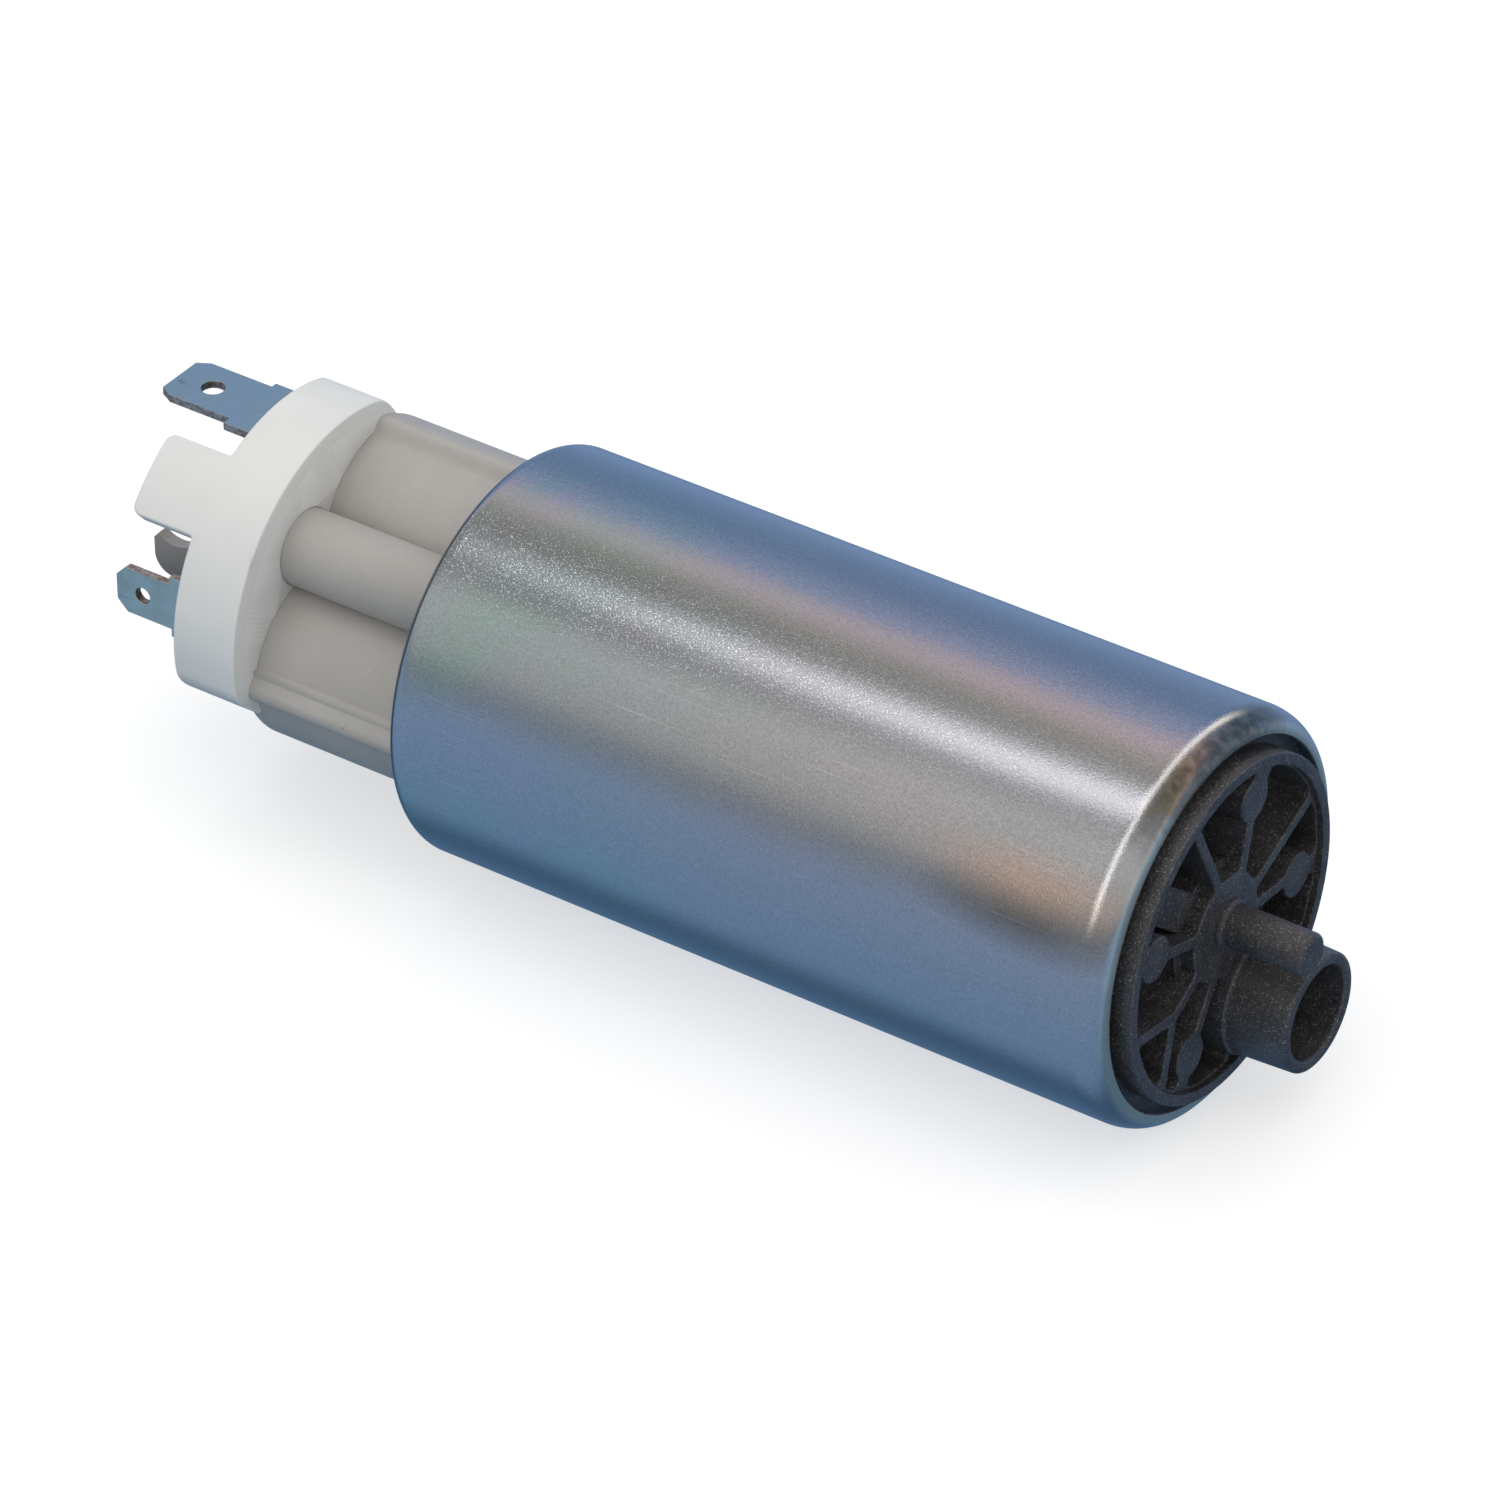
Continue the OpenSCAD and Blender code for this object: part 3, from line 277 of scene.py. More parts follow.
def plated_zinc(name):
    """Zinc plate with a thin coloured film and worn rolls, a strip along the top painted darker with painted
    sparkle glints, and painted shade along the outlet roll's crease.
    """
    c = bpy.context.scene.pump_colours
    f = Finish(name, c.can, 1.0, 0.22)
    x, y, z = f.apart()
    patch = f.noise(1.0, 3.0, 0.55, 0.6, f.place((20, 75, 75)))
    wide = f.noise(1.0, 2.0, 0.5, 0.4, f.place((26, 40, 40), shift=(3.1, 0.4, 1.7)))

    # the film, greener towards the outlet
    film = f.ramp(patch, ((0.32, c.can_cool), (0.47, c.can), (0.60, c.can), (0.76, c.can_warm)))
    toward_outlet = f.ragged(x, wide, 9 * MM, 2 * MM, -30 * MM, 0.0, 0.9)
    film = f.mix(toward_outlet, film, shade(c.can, (0.88, 1.03, 1.01)))
    hue = f.ramp(f.noise(1.0, 2.0, 0.5, 1.2, f.place((60, 60, 60), shift=(0.7, 2.2, 5.1))),
                 ((0.36, (0.90, 1.04, 0.98)), (0.48, (1.0, 1.0, 1.0)), (0.60, (1.05, 0.97, 1.05))))
    film = f.mix(f.times(toward_outlet, 0.9), film, f.mix(1.0, film, hue, "MULTIPLY"))

    # a dark spot of painted reflection of a dark object, and an orange patch, near the inlet end
    spot_x, stretch = 28 * MM, 0.30
    for angle, color, share in ((66.5, (0.17, 0.15, 0.125), 0.80), (57.5, (0.50, 0.34, 0.26), 0.72)):
        turn = math.radians(angle)
        centre = (-stretch * spot_x, CAN_RADIUS * math.sin(turn), -CAN_RADIUS * math.cos(turn))
        far = f.node("ShaderNodeVectorMath", "LENGTH", Vector=f.place((stretch, 1, 1), shift=centre))
        film = f.mix(f.spread(far.outputs["Value"], 3.5 * MM, 0.4 * MM, 0.0, share), film, color)

    # crystals and scratches
    crystal = f.noise(5200.0, 2.0, 0.7)
    fine = f.noise(11000.0, 1.0)
    fleck = f.spread(crystal, 0.34, 0.68, 0.86, 1.12)
    flecks = f.node("ShaderNodeCombineColor", Red=fleck, Green=fleck, Blue=fleck).outputs[0]
    body = f.mix(1.0, film, flecks, "MULTIPLY")
    scratch = f.math("MAXIMUM", f.hairlines((8, 24, 0), 60, 14000, 0.742),
                     f.hairlines((-20, -35, 15), 70, 12500, 0.748))
    turn = f.round_axis(y, z)
    scratched = f.spread(f.math("ABSOLUTE", turn), math.radians(8), math.radians(16), 0.0, 0.45)
    body = f.mix(f.times(scratch, scratched), body, (0.60, 0.60, 0.60))

    # the strip along the top where the softbox is mirrored: painted shade that grows towards the outlet,
    # with painted sparkle glints
    off_strip = f.math("ABSOLUTE", f.math("SUBTRACT", turn, math.radians(29)))
    strip = f.spread(off_strip, math.radians(17), math.radians(8))
    painted_glint_strip = f.times(strip, f.ragged(x, wide, 8 * MM, 30 * MM, -24 * MM, 0.15, 1.0))
    painted_sparkle = f.times(f.spread(f.noise(6800.0, 2.0, 0.8), 0.57, 0.65), painted_glint_strip)
    body = f.mix(f.times(painted_glint_strip, 0.50), body, (0.19, 0.185, 0.175))
    body = f.mix(f.times(painted_sparkle, 0.85), body, (0.88, 0.88, 0.90))

    # the worn lip, the brown stain on its roll, and painted shade along the crease of the far roll
    wear = f.noise(900.0, 3.0)
    lip = f.ragged(x, wear, 0.03 * MM, 36.05 * MM, 36.45 * MM)
    stained = f.times(f.ragged(z, wear, 1.0 * MM, 14.4 * MM, 16.9 * MM),
                      f.ragged(x, wear, 0.2 * MM, 33.9 * MM, 35.2 * MM))
    worn = f.mix(f.spread(patch, 0.35, 0.65), (0.36, 0.41, 0.37), (0.45, 0.48, 0.43))
    brown = f.mix(f.spread(wear, 0.4, 0.6), (0.09, 0.075, 0.05), (0.20, 0.17, 0.12))
    body = f.mix(f.times(stained, 0.85), f.mix(lip, body, worn), brown)
    rim_crease_shade = f.times(f.spread(x, -35.70 * MM, -35.84 * MM), f.spread(x, -36.10 * MM, -35.96 * MM))
    f.color(f.mix(f.times(rim_crease_shade, 0.95), body, (0.04, 0.045, 0.05)))
    f.put(f.shader.inputs["Metallic"], f.spread(lip, 0.0, 1.0, 1.0, 0.75))

    burnished = f.spread(x, 33.2 * MM, 34.2 * MM, 0.0, 0.06)
    rough = f.plus(f.spread(crystal, 0.3, 0.7, 0.135, 0.215), f.spread(patch, 0.3, 0.7, 0.0, 0.03))
    f.roughness(f.plus(f.math("SUBTRACT", rough, burnished), f.times(lip, 0.14)))
    whole = f.spread(lip, 0.0, 1.0, 1.0, 0.0)
    f.bump(crystal, 0.020 * MM, f.times(whole, 0.60))
    f.bump(fine, 0.010 * MM, f.times(whole, 0.40))
    f.bump(f.noise(380.0, 3.0), 0.03 * MM, 0.20)
    return f


def black_plastic(name):
    """Black plastic with the glints of its glass fibres painted as pale specks in the skin."""
    black = bpy.context.scene.pump_colours.black
    f = Finish(name, black, 0.0, 0.44)
    broad = f.noise(300.0, 4.0)
    grain = f.noise(3600.0, 3.0, 0.7)
    painted_fibre_glints = 0.0
    for size, high, low in ((4600.0, 0.20, 0.08), (8200.0, 0.26, 0.12)):
        fibre = f.times(f.spread(f.cells(size), high, low), f.spread(f.noise(size * 0.6, 0.0), 0.52, 0.60))
        painted_fibre_glints = f.math("MAXIMUM", fibre, painted_fibre_glints)
    body = f.mix(f.spread(broad, 0.35, 0.65), shade(black, 0.7), shade(black, 1.5))
    body = f.mix(f.spread(grain, 0.48, 0.70, 0.0, 0.6), body, shade(black, 3.2))
    f.color(f.mix(painted_fibre_glints, body, (0.62, 0.61, 0.59)))
    f.roughness(f.spread(grain, 0.3, 0.7, 0.34, 0.58))
    f.bump(grain, 0.09 * MM, 0.75)
    f.set(Specular_IOR_Level=0.62)
    return f


def grey_plastic(name):
    """Warm grey plastic with a few dark specks, and painted shade on the fin."""
    grey = bpy.context.scene.pump_colours.grey
    f = Finish(name, grey, 0.0, 0.48)
    cloud = f.noise(130.0, 4.0)
    grain = f.noise(4200.0, 2.0)
    speck = f.times(f.spread(f.cells(620.0), 0.07, 0.03), f.spread(f.noise(310.0, 0.0), 0.62, 0.66))
    body = f.mix(f.spread(cloud, 0.3, 0.7), shade(grey, 0.94), shade(grey, 1.06))
    x, y = f.apart()[:2]
    # the fin at the outlet end is painted darker, as painted shade
    fin_shade = f.times(f.spread(x, -61.0 * MM, -62.5 * MM), f.spread(y, 2 * MM, 0 * MM))
    body = f.mix(fin_shade, body, (0.33, 0.31, 0.30))
    body = f.mix(f.spread(grain, 0.3, 0.7, 0.0, 0.25), body, shade(grey, 0.8))
    f.color(f.mix(speck, body, (0.10, 0.09, 0.08)))
    f.roughness(f.spread(grain, 0.3, 0.7, 0.42, 0.56))
    f.bump(grain, 0.02 * MM, 0.35)
    return f


def white_plastic(name):
    """White plastic with faint scuffs along the pump."""
    white = bpy.context.scene.pump_colours.white
    f = Finish(name, white, 0.0, 0.42)
    cloud = f.noise(160.0, 4.0)
    grain = f.noise(3800.0, 2.0)
    scuff = f.times(f.spread(f.noise(1.0, 3.0, vector=f.place((900, 260, 260))), 0.66, 0.76),
                    f.spread(f.noise(120.0, 1.0), 0.52, 0.62, 0.0, 0.5))
    body = f.mix(f.spread(cloud, 0.3, 0.7), white, shade(white, 0.95))
    f.color(f.mix(scuff, body, (0.52, 0.50, 0.46)))
    f.roughness(f.spread(grain, 0.3, 0.7, 0.36, 0.50))
    f.bump(grain, 0.015 * MM, 0.3)
    return f


def tinned(name, thin, tint=(1, 1, 1)):
    """Tin plate with brown sheared edges. thin numbers the axis across the blade."""
    tin = shade(bpy.context.scene.pump_colours.tin, tint)
    f = Finish(name, tin, 1.0, 0.36)
    edge = f.spread(f.math("ABSOLUTE", f.apart("Normal")[thin]), 0.86, 0.55)
    stain = f.noise(500.0, 3.0)
    dull = f.mix(f.spread(stain, 0.35, 0.65), tin, shade(tin, 0.88))
    sheared = f.ramp(f.noise(2600.0, 2.0), ((0.35, (0.20, 0.15, 0.12)), (0.65, (0.42, 0.36, 0.31))))
    scratch = f.times(f.hairlines((12, 30, 6), 300, 5200, 0.70), 0.5)
    f.color(f.mix(edge, f.mix(scratch, dull, (0.10, 0.14, 0.17)), sheared))
    f.roughness(f.plus(f.spread(stain, 0.3, 0.7, 0.26, 0.42), f.times(edge, 0.15)))
    f.bump(f.noise(3400.0, 2.0), 0.02 * MM, 0.3)
    return f


def bare_metal(name, color, roughness, streak, depth=0.01):
    """Plain turned, drawn or pressed metal with fine streaks."""
    f = Finish(name, color, 1.0, roughness)
    lines = f.noise(1.0, 3.0, vector=f.place(streak))
    f.color(f.mix(f.spread(lines, 0.3, 0.7), shade(color, 0.82), color))
    f.roughness(f.spread(lines, 0.3, 0.7, roughness * 0.8, roughness * 1.3))
    f.bump(lines, depth * MM, 0.4)
    return f


def moulded(name, color, roughness, scale=2600.0, depth=0.03, tint=0.8):
    """Dull moulded, sintered or pressed stuff with an even grain."""
    f = Finish(name, color, 0.0, roughness)
    grain = f.noise(scale, 3.0)
    broad = f.noise(240.0, 3.0)
    body = f.mix(f.spread(broad, 0.3, 0.7), color, shade(color, tint))
    f.color(f.mix(f.spread(grain, 0.3, 0.7, 0.0, 0.5), body, shade(color, tint)))
    f.roughness(f.spread(grain, 0.3, 0.7, roughness * 0.85, roughness * 1.15))
    f.bump(grain, depth * MM, 0.4)
    return f


# each finish, with the nodes that wear it, its maker and what the maker is given
FINISH_TABLE = {
    "plated_zinc": ("pump_can", plated_zinc),
    "black_plastic": ("inlet_cover pump_housing", black_plastic),
    "grey_plastic": ("outlet_cover", grey_plastic),
    "white_plastic": ("terminal_cap", white_plastic),
    "tinned_large": ("terminal_large", tinned, 2),
    "tinned_small": ("terminal_small", tinned, 1, (1.55, 1.22, 0.98)),
    "ground_steel": ("thrust_button shaft relief_ball", bare_metal, (0.62, 0.63, 0.64), 0.26,
                     (300, 2600, 2600)),
    "spring_wire": ("brush_spring_a brush_spring_b check_valve_spring relief_spring", bare_metal,
                    (0.60, 0.61, 0.62), 0.24, (1800, 1800, 1800)),
    "pressed_steel": ("magnet_clips flux_ring", bare_metal, (0.44, 0.45, 0.46), 0.40, (900, 900, 900)),
    "lamination_steel": ("armature_core", bare_metal, (0.33, 0.34, 0.36), 0.42, (3200, 60, 60), 0.04),
    "enamelled_copper": ("windings brush_lead_a brush_lead_b choke_coil_a choke_coil_b", bare_metal,
                         (0.66, 0.26, 0.10), 0.28, (1400, 1400, 1400)),
    "commutator_copper": ("commutator_bars", bare_metal, (0.78, 0.45, 0.30), 0.30, (400, 2800, 2800)),
    "sintered_bronze": ("lower_bearing upper_bearing", bare_metal, (0.55, 0.38, 0.20), 0.46,
                        (2400, 2400, 2400), 0.03),
    "pressed_brass": ("relief_retainer", bare_metal, (0.72, 0.55, 0.24), 0.32, (1200, 1200, 1200)),
    "impeller_plastic": ("impeller", moulded, (0.070, 0.052, 0.040), 0.45),
    "acetal": ("thrust_washer check_valve_seat check_valve_poppet", moulded, (0.74, 0.71, 0.62), 0.40,
               1800.0, 0.01, 0.94),
    "insulator": ("slot_insulators", moulded, (0.03, 0.16, 0.11), 0.45),
    "phenolic": ("commutator_base", moulded, (0.16, 0.06, 0.03), 0.40),
    "ferrite": ("magnet_upper magnet_lower choke_core_a choke_core_b", moulded, (0.055, 0.057, 0.060), 0.55,
                3400.0, 0.04),
    "carbon": ("brush_a brush_b", moulded, (0.030, 0.030, 0.032), 0.50, 4200.0),
    "rubber": ("cover_seal check_valve_seal", moulded, (0.018, 0.018, 0.018), 0.55, 2200.0, 0.02),
}
NODE_FINISH = {node: name for name, row in FINISH_TABLE.items() for node in row[0].split()}
FINISHES = {}


def finish(name):
    """The material of that name, made once."""
    if name not in FINISHES:
        maker, *values = FINISH_TABLE[name][1:]
        FINISHES[name] = maker(name, *values).material
    return FINISHES[name]


# shaping
def body_of(node):
    return frame["nodes"][node]["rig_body"]


def mesh_from(bm, name):
    mesh = bpy.data.meshes.new(name)
    bm.to_mesh(mesh)
    bm.free()
    return mesh


def put_in_scene(name, data):
    made = bpy.data.objects.new(name, data)
    bpy.context.scene.collection.objects.link(made)
    return made


def set_piece(bm, name, node, sharp, weighted=True):
    """Turns a bmesh into the piece that stands for a CAD node."""
    mesh = mesh_from(bm, name)
    mesh.polygons.foreach_set("use_smooth", [True] * len(mesh.polygons))
    mesh.set_sharp_from_angle(angle=math.radians(sharp))
    mesh.materials.append(finish(NODE_FINISH[node]))
    piece = put_in_scene(name, mesh)
    if weighted:
        even = piece.modifiers.new("even_normals", "WEIGHTED_NORMAL")
        even.keep_sharp = True
        even.weight = 100
    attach(piece, body_of(node))
    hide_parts(node)
    return piece


def only(kind, geom):
    return [item for item in geom if isinstance(item, kind)]


def every(bm):
    return bm.verts[:] + bm.edges[:] + bm.faces[:]


def middle(node):
    low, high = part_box(node)
    return (low + high) / 2


def polar(r, angle):
    return r * math.cos(angle), r * math.sin(angle)


def mm(points, x=0.0):
    """Outline points (x, r) in millimetres from the station x."""
    return [(x + along * MM, r * MM) for along, r in points]


def outward(bm):
    bmesh.ops.recalc_face_normals(bm, faces=bm.faces[:])
    return bm


def turn_about_axis(bm, angle):
    bmesh.ops.rotate(bm, cent=(0, 0, 0), matrix=Matrix.Rotation(angle, 3, "X"), verts=bm.verts[:])


def bevel(bm, geom, width, segments, affect):
    bmesh.ops.bevel(bm, geom=geom, offset=width, offset_type="OFFSET", segments=segments, profile=0.5,
                    affect=affect, clamp_overlap=False, material=-1)


def soften(bm, width, segments, angle=28.0, where=lambda edge: True):
    """Rounds the edges that are sharper than angle."""
    limit = math.radians(angle)
    edges = [e for e in bm.edges if len(e.link_faces) == 2 and e.calc_face_angle(0.0) > limit and where(e)]
    bevel(bm, edges, width, segments, "EDGES")


def add(bm, other):
    """Adds the shapes of another bmesh to bm."""
    mesh = mesh_from(other, "part")
    bm.from_mesh(mesh)
    bpy.data.meshes.remove(mesh)


def merged(node):
    """A copy of the CAD node with its corners joined."""
    bm = bmesh.new()
    bm.from_mesh(frame["nodes"][node].data)
    bmesh.ops.remove_doubles(bm, verts=bm.verts[:], dist=MERGE)
    return bm


def section(node, x):
    """Loops where the CAD node crosses the plane at station x, as loose edges."""
    bm = merged(node)
    bmesh.ops.bisect_plane(bm, geom=every(bm), plane_co=(x, 0, 0), plane_no=(1, 0, 0), clear_outer=True,
                           clear_inner=True)
    bmesh.ops.delete(bm, geom=[v for v in bm.verts if abs(v.co.x - x) > SAME], context="VERTS")
    bmesh.ops.delete(bm, geom=bm.faces[:], context="FACES_ONLY")
    bmesh.ops.remove_doubles(bm, verts=bm.verts[:], dist=10 * MERGE)
    return bm


def fill(bm, edges, normal=(1, 0, 0)):
    """Fills flat loops and the holes in them."""
    made = bmesh.ops.triangle_fill(bm, use_beauty=True, use_dissolve=False, edges=edges, normal=normal)
    return only(bmesh.types.BMFace, made["geom"])


def raised(bm, x_low, x_high, edge, steps=3):
    """Makes a prism with a rounded top from the flat loops in bm."""
    side = 1.0 if x_high > x_low else -1.0
    base = fill(bm, bm.edges[:], (side, 0, 0))
    for v in bm.verts:
        v.co.x = x_low
    top = bmesh.ops.extrude_face_region(bm, geom=base)["geom"]
    for v in only(bmesh.types.BMVert, top):
        v.co.x = x_high - side * edge
    faces = only(bmesh.types.BMFace, top)
    for i in range(steps):
        a0, a1 = (math.pi / 2 * k / steps for k in (i, i + 1))
        bmesh.ops.inset_region(bm, faces=faces, use_boundary=True, use_even_offset=True,
                               thickness=edge * (math.cos(a0) - math.cos(a1)), depth=0.0)
        for v in {v for f in faces for v in f.verts}:
            v.co.x = x_high - side * edge * (1 - math.sin(a1))
    rim = [e for e in {e for f in faces for e in f.edges} if sum(f in faces for f in e.link_faces) == 1]
    bmesh.ops.delete(bm, geom=faces, context="FACES_ONLY")
    bmesh.ops.delete(bm, geom=[e for e in bm.edges if not e.link_faces], context="EDGES")
    fill(bm, rim, (side, 0, 0))
    return outward(bm)


def spun(profile, steps=192, centre=(0.0, 0.0)):
    """Spins an outline of (x, r) round a line along X. It is closed, or starts and ends on the line."""
    bm = bmesh.new()
    verts = [bm.verts.new((x, 0.0, r)) for x, r in profile]
    edges = [bm.edges.new(pair) for pair in zip(verts, verts[1:])]
    if profile[0][1] > 0.0 or profile[-1][1] > 0.0:
        edges.append(bm.edges.new((verts[-1], verts[0])))
    bmesh.ops.spin(bm, geom=verts + edges, cent=(0, 0, 0), axis=(1, 0, 0), dvec=(0, 0, 0),
                   angle=2 * math.pi, steps=steps, use_merge=True, use_duplicate=False)
    bmesh.ops.remove_doubles(bm, verts=bm.verts[:], dist=MERGE / 4)
    bmesh.ops.translate(bm, vec=(0, *centre), verts=bm.verts[:])
    return outward(bm)


def corner(x, r, cx, cr, radius, steps=4):
    """Points of a rounded corner at (x, r). cx and cr are 1 or -1, towards the body of the shape."""
    mid_x, mid_r = x + cx * radius, r + cr * radius
    return [(mid_x - cx * radius * math.cos(math.pi / 2 * i / steps),
             mid_r - cr * radius * math.sin(math.pi / 2 * i / steps)) for i in range(steps + 1)]


def collar(foot, top, inner, outer, inner_edge, outer_edge):
    """Outline of a ring that stands on the station foot, without the last point at its outer foot."""
    return ([(foot, inner)] + corner(top, inner, -1, 1, inner_edge)[::-1]
            + corner(top, outer, -1, -1, outer_edge))


def wire_coil(centre, r, wire_r, x0, x1, turns, start=0.0, around=48, sides=12):
    """One smooth round wire wound about a line along X."""
    bm = bmesh.new()
    bmesh.ops.create_circle(bm, cap_ends=False, segments=sides, radius=wire_r)
    slope = math.atan2((x1 - x0) / turns, 2 * math.pi * r)
    stand = (Matrix.Translation((x0, 0, r)) @ Matrix.Rotation(math.pi / 2 - slope, 4, "Z")
             @ Matrix.Rotation(math.pi / 2, 4, "Y"))
    bmesh.ops.transform(bm, matrix=Matrix.Rotation(start, 4, "X") @ stand, verts=bm.verts[:])
    steps = int(turns * around)
    bmesh.ops.spin(bm, geom=bm.verts[:] + bm.edges[:], cent=(0, 0, 0), axis=(1, 0, 0),
                   dvec=((x1 - x0) / steps, 0, 0), angle=2 * math.pi * turns, steps=steps,
                   use_merge=False, use_duplicate=False)
    bmesh.ops.holes_fill(bm, edges=[e for e in bm.edges if e.is_boundary], sides=sides)
    bmesh.ops.translate(bm, vec=(0, *centre), verts=bm.verts[:])
    return outward(bm)


def cap_reach(a, inset=0.0):
    """Radius of the cap's outline at the angle a from the tab, made smaller by inset."""
    a = abs(math.remainder(a, 2 * math.pi))
    if a > math.radians(90):
        return 13.95 * MM - inset
    flat = (13.8 * MM - inset) / max(math.cos(math.radians(98.4) - a), 0.2)
    full = CAP_RADIUS - inset
    blunt = 1.2 * MM
    gap = max(blunt - abs(flat - full), 0.0)
    return min(flat, full) - gap * gap / (4 * blunt)


def cover_reach(a, grow=0.0):
    """Radius of the grey cover's outline at the angle a from the boss, made larger by grow."""
    a = abs(math.remainder(a, 2 * math.pi))
    full = COVER_RADIUS + grow
    if a > math.pi / 2:
        return full
    best = 7.2 * MM
    for offset, angle, r in ((9.7 * MM, 0.0, 3.6 * MM), (7.1 * MM, math.radians(86), 8.6 * MM)):
        r += grow
        aside = offset * math.sin(a - angle)
        if abs(aside) < r:
            best = max(best, offset * math.cos(a - angle) + math.sqrt(r * r - aside * aside))
    return best if a < math.radians(21.8) else min(best, full)


def outline(reach):
    """A loop of loose edges across the axis whose radius follows reach(angle from the tab)."""
    bm = bmesh.new()
    bmesh.ops.create_circle(bm, cap_ends=False, segments=ROUND_STEPS, radius=1.0)
    for v in bm.verts:
        a = math.atan2(v.co.y, v.co.x)
        v.co = (0.0, *polar(reach(a), a + BOSS_ANGLE))
    return bm


def between(outer, inner):
    """Two loops of loose edges, for a ring between two outlines."""
    bm = outline(outer)
    add(bm, outline(inner))
    return bm


def ridge(points, x_low, x_high, taper):
    """A rib along X from points of (degrees from the boss, radius in mm), thinner by taper at x_high."""
    bm = bmesh.new()
    bm.faces.new([bm.verts.new((x_low, *polar(r * MM, math.radians(a) + BOSS_ANGLE))) for a, r in points])
    out = bmesh.ops.extrude_face_region(bm, geom=bm.faces[:])["geom"]
    for v in only(bmesh.types.BMVert, out):
        v.co = (x_high, *(v.co.yz * (1 - taper / (15.7 * MM))))
    long = [e for e in bm.edges if abs(e.verts[0].co.x - e.verts[1].co.x) > 1 * MM]
    bmesh.ops.subdivide_edges(bm, edges=long, cuts=15, use_grid_fill=True)
    return outward(bm)


# pieces
class PUMP_OT_can(bpy.types.Operator):
    """Makes the plated can with its rolled edges"""
    bl_idname = "pump.can"
    bl_label = "Can"

    def execute(self, context):
        sizes = context.scene.pump_sizes
        low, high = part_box("pump_can")
        r, wall = high.z, sizes.can_wall
        inlet_hole, outlet_hole = r - 2.0 * MM, r - 2.6 * MM
        long, drop, back = sizes.inlet_roll_length, sizes.inlet_roll, sizes.outlet_roll
        blunt = 0.08 * MM
        quarter = [math.pi / 2 * i / 16 for i in range(17)]
        profile = [(high.x - blunt, inlet_hole), (high.x, inlet_hole + blunt)]
        profile += [(high.x - long + long * math.cos(t), r - drop + drop * math.sin(t)) for t in quarter]
        profile += [(low.x + back - back * math.sin(t), r - back + back * math.cos(t)) for t in quarter]
        profile += [(low.x, outlet_hole + 0.2 * MM), (low.x + blunt, outlet_hole + 0.06 * MM),
                    (low.x + 0.22 * MM, outlet_hole), (low.x + wall, outlet_hole), (low.x + wall, r - back),
                    (low.x + back, r - wall), (high.x - long, r - wall),
                    (high.x - wall - 0.4 * MM, r - drop), (high.x - wall, inlet_hole)]
        set_piece(spun(profile, 256), "can_shell", "pump_can", 30.0)
        return {"FINISHED"}


class PUMP_OT_inlet_cover(bpy.types.Operator):
    """Makes the black inlet cover with its ribs, ring, tube and locating pin"""
    bl_idname = "pump.inlet_cover"
    bl_label = "Inlet cover"

    def execute(self, context):
        edge = context.scene.pump_sizes.cover_edge
        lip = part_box("pump_can")[1].x
        ring_x, rib_x, floor_x = lip + 1.3 * MM, lip + 0.7 * MM, lip - 3.2 * MM
        ledge_x, flange_x = ring_x - 2.0 * MM, lip - 1.25 * MM
        tube_x, pin_x = lip + 7.3 * MM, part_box("inlet_cover")[1].x
        sunk = floor_x - 0.2 * MM

        # the CAD cover up to the floor of its pockets
        bm = merged("inlet_cover")
        cut = bmesh.ops.bisect_plane(bm, geom=every(bm), plane_co=(floor_x - 0.01 * MM, 0, 0),
                                     plane_no=(1, 0, 0), clear_outer=True)["geom_cut"]
        fill(bm, only(bmesh.types.BMEdge, cut))
        for v in bm.verts:
            if v.co.x > floor_x - 0.02 * MM:
                v.co.x = floor_x

        # flange, ribs and ring
        foot, outer = floor_x - 1 * MM, 17.75 * MM
        add(bm, spun(collar(foot, flange_x, 15.1 * MM, outer, 0.1 * MM, 0.55 * MM) + [(foot, outer)]))
        add(bm, raised(section("inlet_cover", rib_x - 0.2 * MM), floor_x - 0.3 * MM, rib_x, edge))
        outer = 15.8 * MM
        add(bm, spun(collar(floor_x, ring_x, 14.7 * MM, outer, edge, edge) + [(floor_x, outer)]))

        # tube, pin and hub
        wall, tube_edge, root = 5.5 * MM, 0.35 * MM, 5.92
        add(bm, spun(collar(sunk, tube_x, 4.35 * MM, wall, tube_edge, tube_edge)
                     + mm([(0.4, 5.72), (0.12, 5.80), (0.0, root)], ring_x) + [(sunk, root * MM)],
                     128, polar(10.35 * MM, TUBE_ANGLE)))
        boss, pin = 2.25 * MM, 1.95 * MM
        add(bm, spun([(floor_x, 0.0), (floor_x, boss)]
                     + corner(rib_x + 0.4 * MM, boss, -1, -1, 0.12 * MM)[::-1]
                     + mm([(0.4, 2.12), (0.5, 2.0), (0.75, 1.95)], rib_x)
                     + corner(pin_x, pin, -1, -1, 0.5 * MM, 6)[::-1] + [(pin_x, 0.0)],
                     80, polar(0.5 * MM, PIN_ANGLE)))
        hub_in, hub_out = 4.6 * MM, 5.9 * MM
        add(bm, spun([(sunk, hub_in), (ledge_x, hub_in)] + corner(ledge_x, hub_out, -1, -1, edge)[::-1]
                     + [(sunk, hub_out)], 128))

        # two low bars between the spokes
        near, low = 5.0 * MM, floor_x - 0.4 * MM
        for far, wide, top in ((12.4 * MM, 3.6 * MM, ledge_x), (15.25 * MM, 2.8 * MM, ledge_x - 1.2 * MM)):
            bar = bmesh.new()
            bmesh.ops.create_cube(bar, size=1.0)
            bmesh.ops.scale(bar, vec=(top - low, far - near, wide), verts=bar.verts[:])
            bmesh.ops.translate(bar, vec=((top + low) / 2, (far + near) / 2, 0), verts=bar.verts[:])
            soften(bar, edge, 3)
            turn_about_axis(bar, BLOCK_ANGLE)
            add(bm, bar)
        set_piece(bm, "inlet_cover_moulding", "inlet_cover", 35.0)
        return {"FINISHED"}


